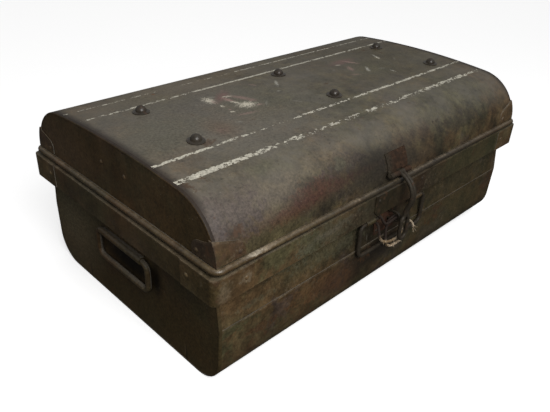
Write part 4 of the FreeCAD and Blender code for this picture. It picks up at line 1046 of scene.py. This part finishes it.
@dataclass
class ChestShell:
    """Chest below the lid: tray, panels, ends, collar and its caps, with the patches on each."""

    tray: tuple[Wash, ...] = (
        Wash((-0.02, -0.222, 0.085), (0.11, 0.03, 0.034), Tone.DARK, 0.8),
        Flake((-0.25, -0.21, 0.04), (0.12, 0.04, 0.03), Tone.RUST, 0.4),
        Flake((-0.185, -0.225, 0.08), (0.075, 0.04, 0.02), Tone.EMBER, 0.36),
        Wash((-0.125, -0.225, 0.066), (0.06, 0.04, 0.03), Tone.BLOOD, 0.55),
        Flake((-0.285, -0.225, 0.072), (0.045, 0.04, 0.008), Tone.RUST, 0.7),
        Flake((-0.345, -0.225, 0.098), (0.045, 0.04, 0.01), Tone.GREEN, 0.7),
        Wash((-0.052, -0.225, 0.08), (0.06, 0.04, 0.04), Tone.PIT, 0.5),
        Wash((0.22, -0.22, 0.07), (0.17, 0.04, 0.06), Tone.GREEN, 0.5),
    )
    panels: tuple[Wash, ...] = (
        # Painted shadow inside the front bail.
        Wash((-0.02, -0.22, 0.128), (0.122, 0.03, 0.042), Tone.SOOT, 0.82),
        Wash((-0.19, -0.22, 0.14), (0.11, 0.02, 0.03), Tone.GREEN, 0.55),
        Wash((-0.34, -0.22, 0.13), (0.05, 0.02, 0.024), Tone.BROWN, 0.55),
        Flake((-0.235, -0.22, 0.152), (0.06, 0.02, 0.012), Tone.SAGE, 0.4),
        Flake((-0.3, -0.22, 0.122), (0.04, 0.02, 0.006), Tone.SAGE, 0.4),
        Flake((-0.15, -0.22, 0.135), (0.09, 0.02, 0.016), Tone.SAGE, 0.35),
        Wash((0.22, -0.22, 0.135), (0.17, 0.02, 0.05), Tone.GREEN, 0.45),
        Flake((0.2, -0.22, 0.135), (0.15, 0.02, 0.03), Tone.DARK, 0.3),
    )
    ends: tuple[Wash, ...] = (
        through(0.17, 0.11, 0.11, 0.09, Tone.GREEN, 0.7),
        through(-0.13, 0.05, 0.17, 0.08, Tone.UMBER, 0.75),
        through(0.05, 0.02, 0.12, 0.05, Tone.UMBER, 0.6),
        through(0.165, 0.09, 0.09, 0.09, Tone.TAN, 0.36),
        # Painted shadow inside the end handles and beside one leg.
        through(-0.005, 0.106, 0.072, 0.024, Tone.PIT, 0.85),
        through(-0.01, 0.121, 0.07, 0.009, Tone.PIT, 0.9),
        through(-0.08, 0.11, 0.013, 0.034, Tone.PIT, 0.92),
        through(-0.01, 0.104, 0.08, 0.026, Tone.PIT, 0.85),
        through(0.121, 0.008, 0.0016, 0.022, Tone.PIT, 0.95),
        through(0.124, 0.008, 0.0012, 0.018, Tone.TAN, 0.22),
        through(-0.146, 0.01, 0.0016, 0.022, Tone.PIT, 0.95),
        through(-0.143, 0.02, 0.002, 0.012, Tone.TAN, 0.25),
    )
    collar: tuple[Wash, ...] = (
        Flake((-0.18, -0.231, 0.183), (0.08, 0.02, 0.026), Tone.SAGE, 0.5),
        Flake((-0.225, -0.231, 0.178), (0.02, 0.02, 0.012), Tone.SAGE, 0.6),
        Flake((-0.175, -0.231, 0.184), (0.05, 0.02, 0.005), Tone.DUST, 0.24),
        Flake((-0.125, -0.231, 0.19), (0.03, 0.02, 0.005), Tone.DUST, 0.22),
        Wash((0.0, -0.231, 0.183), (0.15, 0.03, 0.04), Tone.DARK, 0.85),
        Wash((0.24, -0.231, 0.183), (0.16, 0.03, 0.05), Tone.GREEN, 0.5),
    )
    caps: tuple[Wash, ...] = (
        Flake((-0.372, -0.231, 0.178), (0.014, 0.01, 0.016), Tone.TAN, 0.4),
        Flake((-0.335, -0.231, 0.186), (0.012, 0.01, 0.008), Tone.TAN, 0.6),
        Wash((-0.386, -0.215, 0.183), (0.01, 0.05, 0.04), Tone.UMBER, 0.8),
    )

    def dress(self) -> None:
        """Finish every node of the chest's sheet work."""
        self.dress_front()
        self.dress_ends()
        self.dress_collar()

    def dress_front(self) -> None:
        """Finish the tray, and the panels above it."""
        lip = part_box("bottom_tray")[1][2]
        # Tray with a rubbed lip that is also a painted highlight, and a painted shade towards the right.
        put(WornPaint(
            "tray_paint", brown=0.07, rust=-0.01, light=1.14, gloss=0.2, dents=0.0018, bumpy=0.7, mottle=3.2,
            mixed=0.9, painted_falloff=0.4, worn_highlit_edges=(WornHighlitEdge(lip - 0.0032, lip + 0.001, 0.6),),
            patches=(*self.tray, Wash((0.16, -0.222, lip), (0.28, 0.06, 0.0022), Tone.SOOT, 0.75))).make(),
            "bottom_tray")
        put(WornPaint(
            "panel_paint", brown=0.02, light=1.14, gloss=0.2, rust=-0.04, dents=0.0014, bumpy=0.7, cloud=3.4,
            mottle=4.2, mixed=0.9, painted_falloff=0.4, patches=self.panels).make(), "front_panel", "back_panel")

    def dress_ends(self) -> None:
        """Finish the ends: painted shadow in and beside the handles, and a short painted slit on each side
        below.
        """
        put(WornPaint(
            "end_paint", light=0.9, gloss=0.15, rust=-0.08, dents=0.0016, flecks=0.05, cloud=1.2, mottle=0.9,
            mixed=0.3, bumpy=0.6, patches=self.ends).make(), *(f"{side}_end_panel" for side in SIDES))

    def dress_collar(self) -> None:
        """Finish the collar's bands, the caps on its corners and their rivets."""
        low, high = (corner[2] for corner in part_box("collar_front"))
        # Rubbed rims along the collar's top and bottom edges, which are also painted highlights where they
        # catch the light.
        collar_wear_and_highlights = (WornHighlitEdge(high - 0.0016, high + 0.001, 0.45), WornHighlitEdge(low - 0.001, low + 0.001, 0.18))
        put(WornPaint(
            "collar_paint", worn_highlit_edges=collar_wear_and_highlights, light=1.12, gloss=0.22, rust=-0.04, dents=0.001, bumpy=0.7, mixed=0.9,
            painted_falloff=0.4, patches=self.collar).make(), "collar_front", "collar_back")
        put(WornPaint(
            "collar_end_paint", brown=0.02, light=0.95, gloss=0.25, rust=-0.08, worn_highlit_edges=collar_wear_and_highlights, dents=0.001,
            cloud=1.4, mottle=1.4, mixed=0.3, flecks=0.08,
            patches=(through(-0.18, 0.183, 0.15, 0.05, Tone.UMBER, 0.6),)).make(),
            *(f"collar_{side}" for side in SIDES))
        put(WornPaint(
            "cap_paint", brown=0.08, light=1.14, gloss=0.24, rust=-0.03, worn_highlit_edges=collar_wear_and_highlights, dents=0.0006, mottle=2.4,
            mixed=0.5, patches=self.caps).make(), *(f"collar_cap_{corner}" for corner in CORNERS))
        put(WornPaint(
            "cap_rivet_paint", brown=0.06, light=1.4, dents=0.0002, mottle=1.6, mixed=0.3, flecks=0.5).make(),
            "collar_cap_rivets")


@dataclass
class Ironwork:
    """Hasp, lock, staple, hinges, clips and bail handles."""

    soot_and_shade: tuple[Wash, ...] = (
        # Painted shadow on the left part of the hasp plate, then a dark band along its lower edge.
        Wash((-0.036, -0.222, 0.24), (0.015, 0.06, 0.06), Tone.DARK, 0.95),
        Wash((0.0, -0.226, 0.222), (0.06, 0.06, 0.006), Tone.SOOT, 0.55),
    )
    small_rivets: tuple[str, ...] = (
        "staple_plate_rivets", "lock_plate_rivets", "front_clip_rivets", "end_clip_rivets",
        "hinge_chest_rivets", "hinge_lid_rivets")
    handles: tuple[str, ...] = (
        "left_bail", "right_bail", "left_handle_clip", "right_handle_clip", "front_clip_left",
        "front_clip_right")

    def dress(self) -> None:
        """Finish every node of the ironwork."""
        put(RustyIron("hasp_plate_rust", red=0.2, light=0.76, shaded_dark_washes=self.soot_and_shade).make(),
            "hasp_plate", "hasp_plate_rivets")
        put(RustyIron("staple_plate_rust", red=1.2).make(), "staple_plate")
        put(WornPaint(
            "lock_plate_paint", brown=0.02, light=0.4, rust=-0.04, dents=0.0004, mottle=2.2,
            mixed=0.5).make(), "lock_plate")
        put(RubbedSteel("small_rivet_steel", bright=0.35, rust=0.05, metal=0.05).make(),
            *self.small_rivets)
        put(RubbedSteel("hasp_steel", bright=0.25, metal=0.08, gloss=0.18).make(),
            "hasp_arm", "hasp_pin", "staple")
        put(RubbedSteel("bail_steel", bright=0.0, metal=0.05, gloss=0.18).make(), "front_bail")
        put(WornPaint(
            "handle_paint", dents=0.0003, rust=-0.06, light=0.84, gloss=0.26, cloud=1.5, mottle=1.6,
            mixed=0.4, matt=0.34).make(), *self.handles)
        put(WornPaint("hinge_paint", brown=0.1, rust=0.04, dents=0.0003).make(),
            *(f"{side}_hinge_{part}_leaf" for side in SIDES for part in ("chest", "lid")))
        put(RubbedSteel("pin_steel", bright=0.5, rust=0.08).make(), "hinge_pins")


def curve(name: str, thick: float = 0.0, rounds: int = 0) -> bpy.types.Curve:
    """Start a curve.

    Args:
        name: Name of the curve.
        thick: Radius of the tube round it, or 0 for a bare line.
        rounds: How finely the tube is rounded.

    Returns:
        The curve, with no spline yet.
    """
    data = bpy.data.curves.new(name, "CURVE")
    data.dimensions = "3D"
    data.bevel_depth = thick
    data.bevel_resolution = rounds
    data.use_fill_caps = thick > 0.0
    return data


def smooth(data: bpy.types.Curve, points: Sequence[Sequence[float]]) -> None:
    """Add a smooth spline to a curve.

    Args:
        data: Curve.
        points: Control points in order.
    """
    spline = data.splines.new("NURBS")
    spline.points.add(len(points) - 1)
    for point, place in zip(spline.points, points):
        point.co = (*place, 1.0)
    spline.order_u = 3
    spline.use_endpoint_u = True


def meshed(data: bpy.types.Curve) -> bpy.types.Mesh:
    """Mesh of a curve.

    Args:
        data: Curve, which is used up.

    Returns:
        The mesh.
    """
    holder = bpy.data.objects.new(data.name, data)
    bpy.context.scene.collection.objects.link(holder)
    mesh = bpy.data.meshes.new_from_object(holder)
    bpy.data.objects.remove(holder)
    return mesh


@dataclass
class TwineTie:
    """Twine of three plies, looped through the staple and round the front handle."""

    radius: float = 0.0022
    plies: int = 3
    pitch: float = 0.0125
    ply_thick: float = 0.56
    ply_out: float = 0.54
    fibre: float = 0.00022
    tuft: int = 16
    seed: int = 11
    # How far loose fibres reach, and how much they follow the twine.
    near_tuft: Band = (0.011, 1.0)
    far_tuft: Band = (0.008, 1.0)
    fuzz: Band = (0.006, 0.35)
    stray: float = 0.8
    bow: Point = (0.001, 0.0006, 0.001)
    nearest: float = -0.2385
    fuzzy: tuple[Band, ...] = ((0.47, 0.62), (0.91, 0.99))
    route: tuple[Point, ...] = (
        (0.04, -0.24251, 0.11095), (0.0365, -0.24251, 0.11795), (0.028, -0.24051, 0.12695),
        (0.01, -0.23661, 0.13845), (0.002, -0.23561, 0.14255), (-0.016, -0.23521, 0.14355),
        (-0.028, -0.23551, 0.14075), (-0.0385, -0.23501, 0.14345), (-0.0456, -0.23095, 0.15934),
        (-0.04695, -0.21815, 0.15934), (-0.0483, -0.21815, 0.14654), (-0.04965, -0.23095, 0.14654),
        (-0.058, -0.24051, 0.13595), (-0.057, -0.24401, 0.12445), (-0.041, -0.24501, 0.11475),
        (-0.023, -0.24501, 0.11095), (-0.007, -0.24461, 0.11035), (0.006, -0.24301, 0.11745),
        (0.009, -0.23701, 0.12595), (0.008, -0.23021, 0.13645), (0.001, -0.22961, 0.14195),
        (-0.016, -0.22961, 0.14275), (-0.026, -0.23151, 0.13495), (-0.031, -0.23501, 0.12395),
        (-0.035, -0.24001, 0.10745), (-0.027, -0.24201, 0.09945), (-0.012, -0.24301, 0.09695),
        (0.002, -0.24301, 0.09895),
    )

    def centre_line(self) -> list[Vector]:
        """Points along the route's smooth curve.

        Returns:
            Points in order.
        """
        data = curve("twine_route")
        smooth(data, self.route)
        mesh = meshed(data)
        points = [vertex.co.copy() for vertex in mesh.vertices]
        bpy.data.meshes.remove(mesh)
        return points

    def frames(self, points: Sequence[Vector]) -> list[tuple[Vector, Vector]]:
        """Two directions across the line at each point, carried along without twist.

        Args:
            points: Points along the line.

        Returns:
            Pairs of directions.
        """
        ahead = [(b - a).normalized() for a, b in zip(points, points[1:])]
        ahead.append(ahead[-1])
        across = ahead[0].orthogonal().normalized()
        pairs = []
        for direction in ahead:
            across = (across - direction * across.dot(direction)).normalized()
            pairs.append((across, direction.cross(across)))
        return pairs

    def ply(self, number: int, points: Sequence[Vector],
            pairs: Sequence[tuple[Vector, Vector]]) -> bpy.types.Object:
        """One ply wound round the line.

        Args:
            number: Which ply.
            points: Points along the line.
            pairs: Directions across the line.

        Returns:
            A mesh object.
        """
        data = curve(f"ply_{number}", self.radius * self.ply_thick, 2)
        spline = data.splines.new("POLY")
        spline.points.add(len(points) - 1)
        whole = self.length(points)
        shares = []
        travelled = 0.0
        for place, (point, (side, up)) in enumerate(zip(points, pairs)):
            if place:
                travelled += (point - points[place - 1]).length
            angle = 2.0 * math.pi * (travelled / self.pitch + number / self.plies)
            offset = (side * math.cos(angle) + up * math.sin(angle)) * self.radius * self.ply_out
            spline.points[place].co = (*(point + offset), 1.0)
            shares.append((point + offset, travelled / whole))
        return self.marked(data, shares)

    def length(self, points: Sequence[Vector]) -> float:
        """Length of the line through the points."""
        return sum((b - a).length for a, b in zip(points, points[1:]))

    def marked(self, data: bpy.types.Curve, shares: Sequence[tuple[Vector, float]]) -> bpy.types.Object:
        """Mesh object of a curve, with how far along the twine it lies written on each vertex.

        Args:
            data: Curve of a ply or of loose fibres.
            shares: Places along the line, with their share of the whole length.

        Returns:
            The object.
        """
        name = data.name
        mesh = meshed(data)
        tree = KDTree(len(shares))
        for number, (place, _) in enumerate(shares):
            tree.insert(place, number)
        tree.balance()
        layer = mesh.attributes.new(ALONG, "FLOAT", "POINT")
        for vertex in mesh.vertices:
            layer.data[vertex.index].value = shares[tree.find(vertex.co)[1]][1]
        solid = bpy.data.objects.new(name, mesh)
        bpy.context.scene.collection.objects.link(solid)
        return solid

    def fray(self, points: Sequence[Vector]) -> bpy.types.Object:
        """Loose fibres at both ends of the twine, and along the stretches that hang free.

        Args:
            points: Points along the line.

        Returns:
            A mesh object.
        """
        chance = random.Random(self.seed)
        data = curve("twine_fibres", self.fibre)
        last = len(points) - 1
        starts = [(0, *self.near_tuft)] * self.tuft + [(last, *self.far_tuft)] * (self.tuft // 2)
        for low, high in self.fuzzy:
            starts += [
                (chance.randint(int(low * last), int(high * last)), *self.fuzz) for _ in range(self.tuft)]
        shares = []
        for place, reach, lead in starts:
            ahead = (points[min(place + 1, last)] - points[max(place - 1, 0)]).normalized()
            ahead = -ahead if place == 0 else ahead
            stray = Vector((chance.gauss(0.0, 1.0), chance.uniform(-1.0, 0.2), chance.gauss(0.0, 1.0)))
            stray.normalize()
            going = (ahead * lead + stray * self.stray).normalized() * reach * chance.uniform(0.5, 1.0)
            start = points[place] + stray * self.radius * 0.5
            bow = Vector([chance.gauss(0.0, spread) for spread in self.bow])
            spots = []
            for share in (0.0, 1.0 / 3.0, 2.0 / 3.0, 1.0):
                spot = start + going * share + bow * math.sin(math.pi * share)
                spot.y = min(spot.y, self.nearest)
                spots.append(spot)
            smooth(data, spots)
            shares += [(spot, place / last) for spot in spots]
        return self.marked(data, shares)

    def build(self) -> None:
        points = self.centre_line()
        pairs = self.frames(points)
        plies = [self.ply(number, points, pairs) for number in range(self.plies)]
        bpy.ops.object.select_all(action="DESELECT")
        for solid in plies:
            solid.select_set(True)
        bpy.context.view_layer.objects.active = plies[0]
        bpy.ops.object.join()
        twine = bpy.context.object
        twine.name = "twine_tie"
        bpy.ops.object.shade_smooth()
        fibres = self.fray(points)
        finish = TwineFibre("twine_fibre").make()
        for piece in (twine, fibres):
            piece.data.materials.append(finish)
            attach(piece, "chest")
        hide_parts("twine")
        length = self.length(points)
        LOG.info("built %s, %.3f m long", twine.name, length)


@dataclass
class Photo:
    """Camera at the photo's view, its turn in degrees."""

    place: Point = (-0.73876, -0.66669, 0.64429)
    turn: Point = (59.24949, -2.53002, -44.49672)
    lens: float = 38.8
    sensor: float = 36.0
    clip: float = 0.01

    def build(self) -> None:
        """Place the camera."""
        data = bpy.data.cameras.new("camera")
        data.lens = self.lens
        data.sensor_width = self.sensor
        data.sensor_fit = "HORIZONTAL"
        data.clip_start = self.clip
        camera = bpy.data.objects.new("camera", data)
        turn = Euler([math.radians(angle) for angle in self.turn])
        camera.matrix_world = Matrix.LocRotScale(Vector(self.place), turn, None)
        bpy.context.scene.collection.objects.link(camera)
        bpy.context.scene.camera = camera


@dataclass
class Studio:
    """White floor, a soft sky above it, one wide soft sun and one near soft box."""

    floor_size: float = 60.0
    floor_tone: tuple[float, ...] = (0.93, 0.93, 0.93, 1.0)
    floor_matt: float = 0.9
    floor_glow: float = 0.55
    sky: float = 0.3
    ground: float = 0.05
    horizon: Band = (-0.15, 0.35)
    seen: float = 0.95
    sun: float = 0.35
    sun_spread: float = math.radians(70.0)
    sun_from: Point = (0.25, -0.45, 0.86)
    box_power: float = 16.0
    box_size: float = 0.9
    box_place: Point = (-0.55, -1.15, 1.15)

    def build(self) -> None:
        """Make the floor, the sky, the sun and the soft box."""
        self.lay_floor()
        self.hang_sky()
        sun = bpy.data.lights.new("sun", "SUN")
        sun.energy = self.sun
        sun.angle = self.sun_spread
        self.hang(sun, self.sun_from, NONE)
        box = bpy.data.lights.new("soft_box", "AREA")
        box.energy = self.box_power
        box.size = self.box_size
        self.hang(box, self.box_place, self.box_place)
        bpy.context.scene.view_settings.view_transform = "Standard"

    def lay_floor(self) -> None:
        """White floor that glows a little, and throws no light back on the trunk."""
        bpy.ops.mesh.primitive_plane_add(size=self.floor_size, location=NONE)
        floor = bpy.context.object
        floor.name = "floor"
        material = bpy.data.materials.new("floor")
        material.use_nodes = True
        sockets = material.node_tree.nodes["Principled BSDF"].inputs
        sockets["Base Color"].default_value = self.floor_tone
        sockets["Roughness"].default_value = self.floor_matt
        sockets["Specular IOR Level"].default_value = 0.0
        sockets["Emission Color"].default_value = WHITE
        sockets["Emission Strength"].default_value = self.floor_glow
        floor.data.materials.append(material)
        floor.visible_diffuse = False
        floor.visible_glossy = False

    def hang_sky(self) -> None:
        """Light from above, little from below, and a pale backdrop for the camera."""
        world = bpy.data.worlds.new("studio")
        world.use_nodes = True
        tree = Tree(world.node_tree)
        sockets = world.node_tree.nodes["Background"].inputs
        sockets["Color"].default_value = WHITE
        rise = tree.split(tree.node("ShaderNodeTexCoord", "Generated", {}))[2].step(*self.horizon)
        light = self.ground + rise * (self.sky - self.ground)
        looked_at = tree.node("ShaderNodeLightPath", "Is Camera Ray", {})
        tree.feed(sockets["Strength"], light + looked_at * (self.seen - light))
        bpy.context.scene.world = world

    def hang(self, data: bpy.types.Light, towards: Point, place: Point) -> None:
        """Hang a light.

        Args:
            data: Light.
            towards: Direction from the trunk in which it hangs.
            place: Where it hangs.
        """
        lamp = bpy.data.objects.new(data.name, data)
        turn = Vector(towards).to_track_quat("Z", "Y").to_matrix().to_4x4()
        lamp.matrix_world = Matrix.Translation(place) @ turn
        bpy.context.scene.collection.objects.link(lamp)


def main() -> None:
    """Build the whole scene."""
    logging.basicConfig(level=logging.INFO)
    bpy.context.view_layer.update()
    Photo().build()
    TwineTie().build()
    LidShell().dress()
    ChestShell().dress()
    Ironwork().dress()
    Studio().build()


if __name__ == "__main__":
    main()
